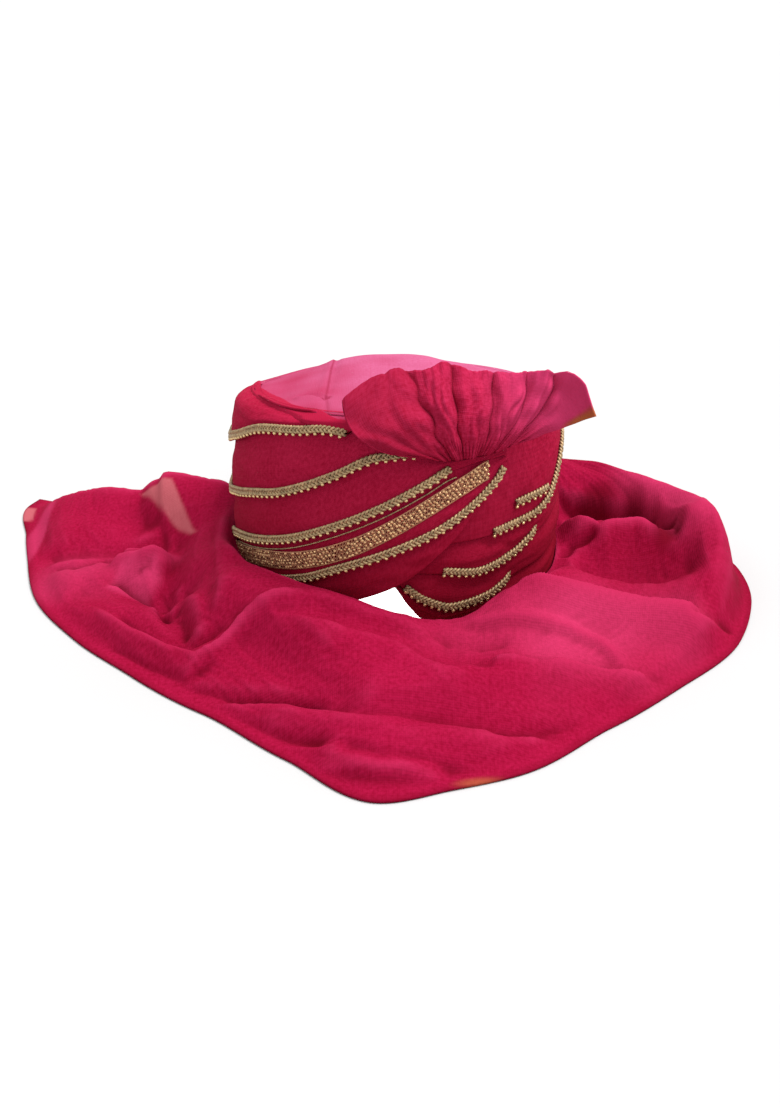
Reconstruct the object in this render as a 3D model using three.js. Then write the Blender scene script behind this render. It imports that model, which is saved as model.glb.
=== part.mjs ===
// A tied turban with its loose tail lying round it on a flat surface.
// Millimetres, +Z up, +X right, -Y towards the front where the fan of pleats stands.
// The wound body is described by a turn in degrees about its axis and a height.
// Turn 0 is the right side, 90 the back, 180 the left side and 270 (or -90) the front.

import * as THREE from "three";

// Wound body
const bodyWidth = 232;
const bodyDepth = 260;
const bodyHeight = 141;
const rimTilt = 18;
const bodyTaper = 0.035;
const windingThickness = 29.5;
const rimRound = 9;
const rimCrest = 16;
const rimDip = 8;
const seamRise = 4;
const lapOut = 2;
const bulgeOut = 0.4;
const bulgeShares = [0.3, 0.62];
const panelThickness = 4;
const underLap = 7;
const layGap = 0.4;
const pieceGap = 0.35;
const thinRim = 3;

// Crown cap
const capWall = 3;
const capRise = 10;
const capBackInset = 17.5;
const capFrontInset = 12;
const capSkirtShare = 0.6;
const capTuckDepth = 4;
const capGap = 0.9;
const capLipWall = 2.4;
const domeOutside = [0.86, 0.68, 0.46, 0.24];
const domeInside = [0.28, 0.56, 0.8, 0.96];

// Gold trims
const braidWidth = 5.6;
const braidThickness = 2.4;
const laceWidth = 12;
const laceThickness = 1.1;
const trimCrownShare = 0.64;
const lipMargin = 0.3;

// Fan of pleats
const fanReach = 60;
const fanSpan = 160;
const fanLean = 50;
const fanThickness = 2.2;
const fanPleatDepth = 8;
const fanClear = 12;
const fanFootShare = 0.95;
const fanGathered = 0.25;
const fanOpening = 1.5;
const fanFaceUp = 0.6;

// Loose tail
const tailReach = 300;
const tailLoft = 50;
const tailThickness = 2.5;
const tailClear = 7;
const tailTuckClear = 2.9;
const tailTuckShare = 0.5;

// Resolution
const turnStep = 9;
const fineStep = 4.5;
const tailTurnStep = 5;
const tailLanes = 13;
const laneCrowding = 1.15;
const fanRibs = 42;
const fanRows = 8;
const capSegments = 36;

const panelEndTurn = 308;
const startTurn = -104;
const underlapEnd = -38;
const underlapFade = 22;
const firstEndTurn = 252;
const panelInTurn = 247;
const panelOutTurn = 253;

// Lower edges of the windings, each a share of the body's height at the side
const firstEdge = [
  { turn: -104, height: 0.53 }, { turn: -72, height: 0.52 }, { turn: -55, height: 0.515 },
  { turn: -38, height: 0.53 }, { turn: -30, height: 0.57 }, { turn: -24, height: 0.63 },
  { turn: -16, height: 0.71 }, { turn: -6, height: 0.78 }, { turn: 15, height: 0.81 },
  { turn: 50, height: 0.78 }, { turn: 90, height: 0.74 }, { turn: 135, height: 0.72 },
  { turn: 180, height: 0.74 }, { turn: 201, height: 0.85 }, { turn: 221, height: 0.98 },
  { turn: 237, height: 1.03 }, { turn: 248, height: 1.06 }, { turn: 256, height: 1.055 },
];
const secondEdge = [
  { turn: -104, height: 0.41 }, { turn: -74, height: 0.37 }, { turn: -60, height: 0.335 },
  { turn: -46, height: 0.365 }, { turn: -34, height: 0.445 }, { turn: 0, height: 0.53 },
  { turn: 45, height: 0.53 }, { turn: 90, height: 0.51 }, { turn: 135, height: 0.47 },
  { turn: 180, height: 0.47 }, { turn: 203, height: 0.57 }, { turn: 217, height: 0.645 },
  { turn: 229, height: 0.705 }, { turn: 241, height: 0.785 }, { turn: 251, height: 0.86 },
  { turn: 264, height: 0.955 }, { turn: 276, height: 0.975 }, { turn: 290, height: 0.955 },
  { turn: 308, height: 0.95 },
];
const thirdEdge = [
  { turn: -104, height: 0.36 }, { turn: -92, height: 0.345 }, { turn: -81, height: 0.235 },
  { turn: -70, height: 0.175 }, { turn: -57, height: 0.19 }, { turn: -42, height: 0.26 },
  { turn: 0, height: 0.32 }, { turn: 45, height: 0.34 }, { turn: 90, height: 0.3 },
  { turn: 135, height: 0.24 }, { turn: 180, height: 0.23 }, { turn: 203, height: 0.34 },
  { turn: 219, height: 0.415 }, { turn: 233, height: 0.49 }, { turn: 251, height: 0.615 },
  { turn: 267, height: 0.735 }, { turn: 279, height: 0.83 }, { turn: 288, height: 0.895 },
  { turn: 298, height: 0.915 }, { turn: 308, height: 0.915 },
];
const fourthEdge = [
  { turn: -104, height: 0.35 }, { turn: -92, height: 0.33 }, { turn: -86, height: 0.22 },
  { turn: -81, height: 0.14 }, { turn: -74, height: 0.09 }, { turn: 0, height: 0.1 },
  { turn: 90, height: 0.1 }, { turn: 180, height: 0.09 }, { turn: 205, height: 0.15 },
  { turn: 225, height: 0.24 }, { turn: 240, height: 0.32 }, { turn: 251, height: 0.4 },
  { turn: 270, height: 0.52 }, { turn: 283, height: 0.605 }, { turn: 294, height: 0.7 },
  { turn: 303, height: 0.795 }, { turn: 308, height: 0.86 },
];
const hemEdge = [
  { turn: -74, height: 0 }, { turn: 196, height: 0 }, { turn: 213, height: 0.035 },
  { turn: 230, height: 0.115 }, { turn: 245, height: 0.2 }, { turn: 259, height: 0.275 },
  { turn: 272, height: 0.365 }, { turn: 283, height: 0.49 }, { turn: 291, height: 0.6 },
  { turn: 296, height: 0.68 },
];
const laceMiddle = [
  { turn: 180, height: 0.16 }, { turn: 200, height: 0.245 }, { turn: 219, height: 0.335 },
  { turn: 237, height: 0.415 }, { turn: 255, height: 0.53 }, { turn: 270, height: 0.655 },
  { turn: 283, height: 0.765 }, { turn: 292, height: 0.83 }, { turn: 301, height: 0.875 },
];
const branchMiddle = [
  { turn: -48, height: 0.64 }, { turn: -41, height: 0.648 }, { turn: -30, height: 0.655 },
];

// Turns that each gold trim runs between
const braidRuns = [
  { name: "braid_1", edge: firstEdge, from: -55, to: 249 },
  { name: "braid_2", edge: secondEdge, from: -74, to: 276 },
  { name: "braid_3", edge: thirdEdge, from: -87, to: 287 },
  { name: "braid_4", edge: fourthEdge, from: 180, to: 306 },
];
const branchRun = { from: -48, to: -30 };
const laceRun = { from: 195, to: 300 };

// Fan ribs from its left corner, 0, to its right tip, 1, each an arc from foot by knee to top.
// across is a share of the span from the body's axis, up of the reach above the foot,
// back of the lean, and fold counts the pleats passed.
const fanFolds = [
  { rib: 0, fold: 0 }, { rib: 0.09, fold: 0.16 }, { rib: 0.18, fold: 0.32 }, { rib: 0.27, fold: 0.6 },
  { rib: 0.38, fold: 1.38 }, { rib: 0.5, fold: 2.05 }, { rib: 0.64, fold: 2.8 }, { rib: 0.77, fold: 3.7 },
  { rib: 0.88, fold: 4.55 }, { rib: 0.95, fold: 4.9 }, { rib: 1, fold: 5 },
];
const fanFoot = [
  { rib: 0, across: 0.13, up: 0.09 }, { rib: 0.09, across: 0.16, up: 0.04 },
  { rib: 0.18, across: 0.19, up: 0.02 }, { rib: 0.27, across: 0.22, up: 0.02 },
  { rib: 0.38, across: 0.25, up: 0.02 }, { rib: 0.5, across: 0.29, up: 0.02 },
  { rib: 0.64, across: 0.34, up: 0.02 }, { rib: 0.77, across: 0.38, up: 0.02 },
  { rib: 0.88, across: 0.42, up: 0.03 }, { rib: 0.95, across: 0.44, up: 0.04 },
  { rib: 1, across: 0.456, up: 0.05 },
];
const fanKnee = [
  { rib: 0, across: -0.17, up: 0.1 }, { rib: 0.09, across: -0.09, up: 0.3 },
  { rib: 0.18, across: 0.02, up: 0.42 }, { rib: 0.27, across: 0.12, up: 0.45 },
  { rib: 0.38, across: 0.2, up: 0.48 }, { rib: 0.5, across: 0.3, up: 0.48 },
  { rib: 0.64, across: 0.41, up: 0.44 }, { rib: 0.77, across: 0.5, up: 0.42 },
  { rib: 0.88, across: 0.57, up: 0.36 }, { rib: 0.95, across: 0.6, up: 0.21 },
  { rib: 1, across: 0.62, up: 0.09 },
];
const fanTop = [
  { rib: 0, across: -0.205, up: 0.62, back: 0.22 }, { rib: 0.09, across: -0.08, up: 0.78, back: 0.5 },
  { rib: 0.18, across: 0, up: 0.85, back: 0.62 }, { rib: 0.27, across: 0.08, up: 0.81, back: 0.62 },
  { rib: 0.38, across: 0.18, up: 0.9, back: 0.74 }, { rib: 0.5, across: 0.3, up: 0.85, back: 0.74 },
  { rib: 0.64, across: 0.42, up: 0.82, back: 0.76 }, { rib: 0.77, across: 0.54, up: 0.82, back: 0.82 },
  { rib: 0.88, across: 0.64, up: 0.81, back: 0.88 }, { rib: 0.95, across: 0.72, up: 0.68, back: 0.78 },
  { rib: 1, across: 0.762, up: 0.39, back: 0.6 },
];

// Heap of the tail: its outer reach, and its height at four lanes from the inner to the outer edge
const crestLane = 0.12;
const middleLane = 0.45;
const fallLane = 0.8;
const tailTable = [
  { turn: 50, reach: 0.55, inner: 0.5, crest: 0.8, middle: 0.9, fall: 0.7 },
  { turn: 36, reach: 0.62, inner: 0.5, crest: 0.85, middle: 1, fall: 0.85 },
  { turn: 23, reach: 0.67, inner: 0.45, crest: 0.7, middle: 0.8, fall: 0.95 },
  { turn: 10, reach: 0.78, inner: 0.4, crest: 0.55, middle: 0.55, fall: 0.95 },
  { turn: -2, reach: 0.85, inner: 0.45, crest: 0.62, middle: 0.6, fall: 1.02 },
  { turn: -14, reach: 0.865, inner: 0.45, crest: 0.5, middle: 0.42, fall: 0.84 },
  { turn: -27, reach: 0.865, inner: 0.45, crest: 0.62, middle: 0.5, fall: 0.42 },
  { turn: -45, reach: 0.842, inner: 0.45, crest: 0.8, middle: 0.5, fall: 0.24 },
  { turn: -60, reach: 0.862, inner: 0.3, crest: 0.8, middle: 0.55, fall: 0.2 },
  { turn: -75, reach: 0.938, inner: 0.15, crest: 0.6, middle: 0.5, fall: 0.2 },
  { turn: -84, reach: 0.965, inner: 0.15, crest: 0.66, middle: 0.52, fall: 0.2 },
  { turn: -92, reach: 1, inner: 0.15, crest: 0.78, middle: 0.55, fall: 0.2 },
  { turn: -104, reach: 0.888, inner: 0.2, crest: 0.92, middle: 0.6, fall: 0.2 },
  { turn: -120, reach: 0.8, inner: 0.25, crest: 0.98, middle: 0.62, fall: 0.2 },
  { turn: -136, reach: 0.788, inner: 0.4, crest: 0.95, middle: 0.58, fall: 0.2 },
  { turn: -152, reach: 0.82, inner: 0.6, crest: 0.85, middle: 0.36, fall: 0.2 },
  { turn: -167, reach: 0.876, inner: 0.7, crest: 0.7, middle: 0.3, fall: 0.26 },
  { turn: -180, reach: 0.92, inner: 0.75, crest: 0.68, middle: 0.2, fall: 0.22 },
  { turn: -190, reach: 0.98, inner: 0.8, crest: 0.82, middle: 0.46, fall: 0.32 },
  { turn: -200, reach: 1.065, inner: 0.8, crest: 0.95, middle: 0.78, fall: 0.32 },
];

// Larger folds on the heap, each a ridge or, where rise is negative, a furrow
const tailFolds = [
  { fromTurn: -52, fromLane: 0.12, toTurn: -28, toLane: 0.9, rise: 0.2, spread: 16 },
  { fromTurn: -22, fromLane: 0.1, toTurn: -14, toLane: 0.75, rise: -0.3, spread: 18 },
  { fromTurn: 12, fromLane: 0.12, toTurn: 4, toLane: 0.62, rise: -0.4, spread: 15 },
  { fromTurn: 0, fromLane: 0.1, toTurn: -4, toLane: 0.8, rise: 0.12, spread: 14 },
  { fromTurn: -58, fromLane: 0.5, toTurn: -96, toLane: 0.3, rise: -0.2, spread: 15 },
  { fromTurn: -58, fromLane: 0.72, toTurn: -98, toLane: 0.62, rise: 0.16, spread: 14 },
  { fromTurn: -96, fromLane: 0.66, toTurn: -128, toLane: 0.5, rise: -0.16, spread: 13 },
  { fromTurn: -100, fromLane: 0.42, toTurn: -138, toLane: 0.36, rise: 0.14, spread: 14 },
  { fromTurn: -146, fromLane: 0.3, toTurn: -166, toLane: 0.85, rise: -0.14, spread: 14 },
  { fromTurn: -166, fromLane: 0.42, toTurn: -178, toLane: 0.5, rise: 0.2, spread: 15 },
  { fromTurn: -181, fromLane: 0.3, toTurn: -180, toLane: 0.95, rise: -0.14, spread: 13 },
];

const rad = Math.PI / 180;
const mix = (a, b, share) => a + (b - a) * share;
const clamp01 = (value) => Math.min(1, Math.max(0, value));
const smooth = (value) => clamp01(value) ** 2 * (3 - 2 * clamp01(value));

// Smooth value of one column of a table between its rows
function along(table, key, column, at) {
  const up = table[table.length - 1][key] > table[0][key] ? 1 : -1;
  let i = 0;
  while (i < table.length - 2 && (table[i + 1][key] - at) * up <= 0) i += 1;
  const steep = (k) => (table[k + 1][column] - table[k][column]) / (table[k + 1][key] - table[k][key]);
  // Flat at the ends and at each peak or dip, so no value overshoots its rows
  const slope = (k) => {
    if (k === 0 || k === table.length - 1) return 0;
    const [before, after] = [steep(k - 1), steep(k)];
    return before * after <= 0 ? 0 : (2 * before * after) / (before + after);
  };
  const [a, b] = [table[i], table[i + 1]];
  const span = b[key] - a[key];
  const t = clamp01((at - a[key]) / span);
  const ease = t * t * (3 - 2 * t);
  const bend = span * (slope(i) * t * (1 - t) ** 2 - slope(i + 1) * t * t * (1 - t));
  return mix(a[column], b[column], ease) + bend;
}

// Wound body as a surface of turn and height, and places measured out from it
const rimHeight = (turn) => bodyHeight - rimTilt * Math.sin(turn * rad);
const edgeHeight = (table, turn) => bodyHeight * along(table, "turn", "height", turn);
const taper = (height) => 1 - bodyTaper * ((height / bodyHeight - 0.45) / 0.55) ** 2;

function bodyPoint(turn, height, out) {
  const cos = Math.cos(turn * rad);
  const sin = Math.sin(turn * rad);
  const x = (bodyWidth / 2) * taper(height) * cos;
  const y = (bodyDepth / 2) * taper(height) * sin;
  const normal = new THREE.Vector2(cos / bodyWidth, sin / bodyDepth).normalize();
  return new THREE.Vector3(x + out * normal.x, y + out * normal.y, height);
}

function ringPoint(turn, inset, height) {
  const x = (bodyWidth / 2 - inset) * Math.cos(turn * rad);
  const y = (bodyDepth / 2 - inset) * Math.sin(turn * rad);
  return new THREE.Vector3(x, y, height);
}

const innerPoint = (turn, height) => ringPoint(turn, windingThickness, height);

function bodyRadius(turn) {
  const x = Math.cos(turn * rad) / (bodyWidth / 2);
  const y = Math.sin(turn * rad) / (bodyDepth / 2);
  return 1 / Math.hypot(x, y);
}

// Start of the winding lies deeper, under the end that laps over it
const lapDepth = (turn) => -underLap * (1 - smooth((turn - underlapEnd) / underlapFade + 0.5));

// A closed solid lofted through rings of equal length, capped at both ends.
// flips names the edges of a ring whose four-sided faces are split the other way.
function loft(rings, flips = []) {
  const count = rings[0].length;
  const positions = rings.flat().flatMap((p) => [p.x, p.y, p.z]);
  const index = [];
  for (let k = 0; k < rings.length - 1; k += 1) {
    for (let j = 0; j < count; j += 1) {
      const next = (j + 1) % count;
      const [a, b] = [k * count + j, k * count + next];
      const [c, d] = [a + count, b + count];
      if (flips.includes(j)) index.push(a, b, c, b, d, c);
      else index.push(a, b, d, a, d, c);
    }
  }
  const last = (rings.length - 1) * count;
  for (const [a, b, c] of THREE.ShapeUtils.triangulateShape(flatten(rings[0]), [])) {
    index.push(a, c, b);
  }
  for (const [a, b, c] of THREE.ShapeUtils.triangulateShape(flatten(rings.at(-1)), [])) {
    index.push(last + a, last + b, last + c);
  }
  return solid(positions, index);
}

// Ring as a flat outline: distance from the axis against height
function flatten(ring) {
  return ring.map((p) => new THREE.Vector2(Math.hypot(p.x, p.y), p.z));
}

// A geometry from corners and faces, turned outward where it came out inside out
function solid(positions, index) {
  const geometry = new THREE.BufferGeometry();
  geometry.setAttribute("position", new THREE.Float32BufferAttribute(positions, 3));
  geometry.setIndex(index);
  const position = geometry.getAttribute("position");
  const corner = (k) => new THREE.Vector3().fromBufferAttribute(position, index[k]);
  let volume = 0;
  for (let k = 0; k < index.length; k += 3) {
    volume += corner(k).dot(corner(k + 1).cross(corner(k + 2)));
  }
  if (volume < 0) geometry.setIndex(index.reverse());
  geometry.computeVertexNormals();
  return geometry;
}

// Turns of the rings between two limits, finer where the end laps over the start
function turnsBetween(from, to) {
  const turns = [from];
  const fine = (turn) => turn < startTurn + 3 * turnStep
    || (turn >= startTurn + 360 && turn < startTurn + 360 + 3 * turnStep);
  let turn = startTurn;
  while (turn < to - 1) {
    if (turn > from + 1) turns.push(turn);
    const passes = turn < firstEndTurn && turn + turnStep > firstEndTurn;
    if (passes && to > firstEndTurn) turns.push(firstEndTurn);
    turn += fine(turn) ? fineStep : turnStep;
  }
  return [...turns, to];
}

// Height of the windings' top face at an inset from the outside of the body
function rimFace(turn, inset) {
  const slope = rimDip / (windingThickness - rimCrest);
  return rimHeight(turn) - slope * Math.max(0, inset - rimCrest);
}

// Seams climb inwards, and less so where they come near the rim
function seamRiseAt(turn, height, panel) {
  const room = rimFace(turn, windingThickness) - thinRim - height;
  return Math.min(mix(seamRise, layGap, panel), mix(room, layGap, panel));
}

// Section of one winding: inner wall, lip that carries the trim, bulge and tucked top
function windingRing(turn, lower, upper, { isTop = false, isHem = false }) {
  const panel = smooth((turn - panelInTurn) / (panelOutTurn - panelInTurn));
  const depth = lapDepth(turn);
  const low = lower(turn);
  const top = isTop ? rimHeight(turn) : Math.max(upper(turn) - layGap, low + 1);
  const inner = (height) => {
    const shell = bodyPoint(turn, height, -panelThickness + pieceGap);
    return innerPoint(turn, height).lerp(shell, panel);
  };
  const lip = low + Math.min(braidWidth + 2 * lipMargin, (top - low) * (isTop ? 0.9 : 0.6));
  const round = isTop ? Math.min(rimRound, (top - lip) * 0.8) : 0;
  const outer = (share, out) => bodyPoint(turn, mix(lip, top - round, share), depth + out);
  const ring = [
    inner(low + (isHem ? 0 : seamRiseAt(turn, low, panel))),
    bodyPoint(turn, low, depth + lapOut),
    bodyPoint(turn, lip, depth + lapOut),
    outer(bulgeShares[0], lapOut + bulgeOut),
    outer(bulgeShares[1], lapOut - bulgeOut),
  ];
  if (!isTop) {
    const rise = seamRiseAt(turn, top + layGap, panel);
    ring.push(outer(1, -pieceGap), inner(top + rise));
    return ring;
  }
  ring.push(
    bodyPoint(turn, top - round, depth + lapOut / 2),
    bodyPoint(turn, top - round * 0.3, depth - round * 0.35),
    ringPoint(turn, rimCrest, top).lerp(inner(top), panel),
    inner(top - mix(rimDip, 1, panel)),
  );
  return ring;
}

function winding(from, to, lower, upper, kind = {}) {
  const rings = turnsBetween(from, to).map((turn) => windingRing(turn, lower, upper, kind));
  return loft(rings, [rings[0].length - 2]);
}

// A flat trim laid on the lip of a winding, or on its face at a given height
function trim(from, to, middle, width, thickness, lift = 0) {
  const rings = turnsBetween(from, to).map((turn) => {
    const height = middle(turn);
    const seat = lapDepth(turn) + lapOut + pieceGap + lift;
    const crown = seat + thickness;
    return [
      bodyPoint(turn, height - width / 2, seat),
      bodyPoint(turn, height - (width / 2) * trimCrownShare, crown),
      bodyPoint(turn, height + (width / 2) * trimCrownShare, crown),
      bodyPoint(turn, height + width / 2, seat),
    ];
  });
  return loft(rings);
}

const onLip = (table) => (turn) => edgeHeight(table, turn) + braidWidth / 2 + lipMargin;

// A closed skin over two grids of points, a front and a back, joined at the four sides.
// Each four-sided face is split along the diagonal that climbs less.
function skin(front, back) {
  const rings = front.map((row, k) => [...row, ...[...back[k]].reverse()]);
  const count = rings[0].length;
  const lanes = front[0].length;
  const level = (k, lane) => Math.abs(front[k][lane].z - front[k + 1][lane + 1].z)
    < Math.abs(front[k][lane + 1].z - front[k + 1][lane].z);
  const positions = rings.flat().flatMap((p) => [p.x, p.y, p.z]);
  const index = [];
  for (let k = 0; k < rings.length - 1; k += 1) {
    for (let j = 0; j < count; j += 1) {
      const [a, b] = [k * count + j, k * count + ((j + 1) % count)];
      const onFront = j < lanes - 1;
      const onBack = j >= lanes && j < count - 1;
      const straight = (onFront && level(k, j)) || (onBack && !level(k, count - 2 - j));
      if (straight) index.push(a, b, b + count, a, b + count, a + count);
      else index.push(a, b, a + count, b, b + count, a + count);
    }
  }
  for (const [first, turned] of [[0, false], [(rings.length - 1) * count, true]]) {
    for (let j = 0; j < lanes - 1; j += 1) {
      const [a, b] = [first + j, first + j + 1];
      const [c, d] = [first + count - 1 - j, first + count - 2 - j];
      const faces = [[a, c, b], [b, c, d]];
      for (const [p, q, r] of faces) index.push(...(turned ? [p, r, q] : [p, q, r]));
    }
  }
  return solid(positions, index);
}

// Domed cap whose lip lies on the windings and whose skirt goes down inside them
function crownCap() {
  const outerWall = windingThickness + pieceGap;
  const innerWall = outerWall + capWall;
  const skirt = bodyHeight * capSkirtShare;
  const peak = bodyHeight + capRise;
  const rings = [];
  for (let s = 0; s < capSegments; s += 1) {
    const turn = (360 / capSegments) * s;
    const forward = smooth((turn - 190) / 50) * (1 - smooth((turn - 300) / 50));
    const lip = mix(capBackInset, capFrontInset, forward);
    const knee = outerWall - Math.min((outerWall - lip) * 0.7, outerWall - rimCrest);
    const lay = (inset, up) => ringPoint(turn, inset, rimFace(turn, inset) + up);
    const lipTop = rimFace(turn, lip) + capGap + capLipWall;
    const tuck = Math.exp(-(((turn - 246) / 10) ** 2)) * capTuckDepth;
    const dome = (share, inset, down) => {
      const radius = bodyWidth / 2 - inset;
      const outside = (share * radius) / (bodyWidth / 2 - lip);
      const height = mix(peak, lipTop, outside ** 3) - down - tuck * share * (1 - share) * 4;
      return ringPoint(turn, inset, height).multiply(new THREE.Vector3(share, share, 1));
    };
    rings.push([
      ringPoint(turn, innerWall, skirt),
      ringPoint(turn, outerWall, skirt),
      lay(outerWall, capGap),
      lay(knee, capGap),
      lay(lip, capGap),
      lay(lip, capGap + capLipWall),
      ...domeOutside.map((share) => dome(share, lip, 0)),
      ...domeInside.map((share) => dome(share, innerWall, capWall)),
      ringPoint(turn, innerWall, rimFace(turn, outerWall) - capWall * 2),
    ]);
  }
  // The peak follows the last of the dome's outside points
  return capLoft(rings, rings[0].length - domeInside.length - 2, peak);
}

// Joins the rings of the cap round its axis, with a peak on either face of the dome
function capLoft(rings, peakAfter, peak) {
  const count = rings[0].length;
  const total = rings.length * count;
  const positions = rings.flat().flatMap((p) => [p.x, p.y, p.z]);
  positions.push(0, 0, peak, 0, 0, peak - capWall);
  const index = [];
  rings.forEach((ring, k) => {
    const from = k * count;
    const to = ((k + 1) % rings.length) * count;
    for (let j = 0; j < count; j += 1) {
      const next = (j + 1) % count;
      if (j !== peakAfter) index.push(from + j, to + j, to + next, from + j, to + next, from + next);
    }
    index.push(from + peakAfter, to + peakAfter, total);
    index.push(to + peakAfter + 1, from + peakAfter + 1, total + 1);
  });
  return solid(positions, index);
}

// Pleated fan that stands up from its gathered base and leans back over the crown
function fan() {
  const footHeight = fanFootShare * bodyHeight;
  const faces = { front: [], back: [] };
  for (let r = 0; r <= fanRibs; r += 1) {
    const rib = r / fanRibs;
    const across = (table) => fanSpan * along(table, "rib", "across", rib);
    const up = (table) => footHeight + fanReach * along(table, "rib", "up", rib);
    const place = (table, out) => {
      const x = across(table);
      const turn = -Math.acos(x / (bodyWidth / 2)) / rad;
      return bodyPoint(turn, up(table), out);
    };
    const foot = place(fanFoot, lapOut + bulgeOut + pieceGap + fanThickness);
    const knee = place(fanKnee, lapOut + fanClear);
    const back = fanLean * along(fanTop, "rib", "back", rib);
    const top = new THREE.Vector3(across(fanTop), -bodyDepth / 2 + back, up(fanTop));
    const curve = new THREE.QuadraticBezierCurve3(foot, knee, top);
    const pleat = 0.5 + 0.5 * Math.cos(along(fanFolds, "rib", "fold", rib) * 2 * Math.PI);
    const [front, rear] = [[], []];
    for (let v = 0; v <= fanRows; v += 1) {
      const share = v / fanRows;
      const point = curve.getPoint(share);
      const swell = fanPleatDepth * Math.min(1, fanGathered + fanOpening * share) * pleat;
      const facing = new THREE.Vector3(point.x / bodyWidth, -1, fanFaceUp * share).normalize();
      front.push(point.clone().addScaledVector(facing, swell));
      rear.push(point.clone().addScaledVector(facing, swell - fanThickness));
    }
    faces.front.push(front);
    faces.back.push(rear);
  }
  return skin(faces.front, faces.back);
}

// Height of the loose tail at a turn and a lane from its inner edge, 0, to its outer edge, 1
function tailHeight(turn, lane, reach) {
  const at = (column) => along(tailTable, "turn", column, turn);
  const profile = [
    { lane: 0, height: at("inner") }, { lane: crestLane, height: at("crest") },
    { lane: middleLane, height: at("middle") }, { lane: fallLane, height: at("fall") },
    { lane: 1, height: 0 },
  ];
  let height = along(profile, "lane", "height", lane);
  const here = tailPlace(turn, lane, reach);
  for (const fold of tailFolds) {
    const a = tailPlace(fold.fromTurn, fold.fromLane, tailOuter(fold.fromTurn));
    const b = tailPlace(fold.toTurn, fold.toLane, tailOuter(fold.toTurn));
    const line = b.clone().sub(a);
    const share = clamp01(here.clone().sub(a).dot(line) / line.lengthSq());
    const away = here.distanceTo(a.addScaledVector(line, share));
    const ends = smooth((1 - Math.abs(2 * share - 1)) * 2.5 + 0.35);
    height += fold.rise * ends * Math.exp(-((away / fold.spread) ** 2));
  }
  return tailLoft * Math.max(0, height) * Math.min(1, (1 - lane) * 6);
}

const tailOuter = (turn) => tailReach * along(tailTable, "turn", "reach", turn);

function tailInner(turn) {
  const clear = mix(tailClear, tailTuckClear, smooth((turn - 26) / 14));
  return bodyRadius(turn) * taper(tailLoft * tailTuckShare) + clear;
}

function tailPlace(turn, lane, outer) {
  const radius = mix(tailInner(turn), outer, lane);
  return new THREE.Vector2(radius * Math.cos(turn * rad), radius * Math.sin(turn * rad));
}

function tail() {
  const first = tailTable[0].turn;
  const last = tailTable.at(-1).turn;
  const steps = Math.round((first - last) / tailTurnStep);
  // Lanes stand closer towards the inner edge, where the heap is steepest
  const lanes = Array.from({ length: tailLanes }, (_, j) => (j / (tailLanes - 1)) ** laneCrowding);
  const [tops, bottoms] = [[], []];
  for (let k = 0; k <= steps; k += 1) {
    const turn = mix(first, last, k / steps);
    const reach = tailOuter(turn);
    const [top, bottom] = [[], []];
    for (const lane of lanes) {
      const plan = tailPlace(turn, lane, reach);
      const height = tailHeight(turn, lane, reach);
      bottom.push(new THREE.Vector3(plan.x, plan.y, height));
      top.push(new THREE.Vector3(plan.x, plan.y, height + tailThickness));
    }
    tops.push(top);
    bottoms.push(bottom);
  }
  return skin(tops, bottoms);
}

// Colours and finishes
const cloth = (color) => new THREE.MeshStandardMaterial({ color, roughness: 0.9 });
const gold = (color) => new THREE.MeshStandardMaterial({ color, roughness: 0.45, metalness: 0.6 });

const crimson = "#a31c44";
const pieces = [];
function piece(name, geometry, material) {
  const mesh = new THREE.Mesh(geometry, material);
  mesh.name = name;
  pieces.push(mesh);
}

const edges = [firstEdge, secondEdge, thirdEdge, fourthEdge, hemEdge];
const [first, second, third, fourth, hem] = edges.map((table) => (turn) => edgeHeight(table, turn));
// Past the point where the first winding runs out, the second one reaches the rim
const secondTop = (turn) => mix(first(turn), rimHeight(turn) - 1, smooth((turn - firstEndTurn) / 8));

piece("crown", crownCap(), cloth("#d9598a"));
piece("winding_1", winding(startTurn, firstEndTurn, first, null, { isTop: true }), cloth(crimson));
piece("winding_2", winding(startTurn, panelEndTurn, second, secondTop), cloth(crimson));
piece("winding_3", winding(startTurn, panelEndTurn, third, second), cloth(crimson));
piece("winding_4", winding(startTurn, panelEndTurn, fourth, third), cloth(crimson));
const hemRun = { from: hemEdge[0].turn, to: hemEdge.at(-1).turn };
piece("winding_5", winding(hemRun.from, hemRun.to, hem, fourth, { isHem: true }), cloth("#8f1238"));
for (const { name, edge, from, to } of braidRuns) {
  piece(name, trim(from, to, onLip(edge), braidWidth, braidThickness), gold("#97825a"));
}
const onFace = (table) => (turn) => edgeHeight(table, turn);
const branch = trim(branchRun.from, branchRun.to, onFace(branchMiddle), braidWidth, braidThickness, bulgeOut);
piece("braid_branch", branch, gold("#97825a"));
const lace = trim(laceRun.from, laceRun.to, onFace(laceMiddle), laceWidth, laceThickness, bulgeOut);
piece("lace_band", lace, gold("#9a6f58"));
piece("fan", fan(), cloth("#b21a45"));
piece("tail", tail(), cloth("#ad1840"));

const turban = new THREE.Group();
turban.name = "turban";
turban.add(...pieces);
const box = new THREE.Box3().setFromObject(turban);
const middle = box.getCenter(new THREE.Vector3());
turban.position.set(-middle.x, -middle.y, -box.min.z);

export default turban;
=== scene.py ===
"""A tied turban of crimson cotton voile with gold braids, a pleated fan and a loose tail.

Metres, +Z up, +X right, -Y towards the front where the fan stands. The wound body is described
by a turn in degrees about its axis and a height. Turn 0 is the right side, 90 the back,
180 the left side and 270 (or -90) the front.
"""

import math

import bmesh
import bpy
import numpy as np
from bpy.props import FloatProperty, FloatVectorProperty, IntProperty, PointerProperty
from bpy.types import Operator, Panel, PropertyGroup
from mathutils import Matrix, Vector


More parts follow.
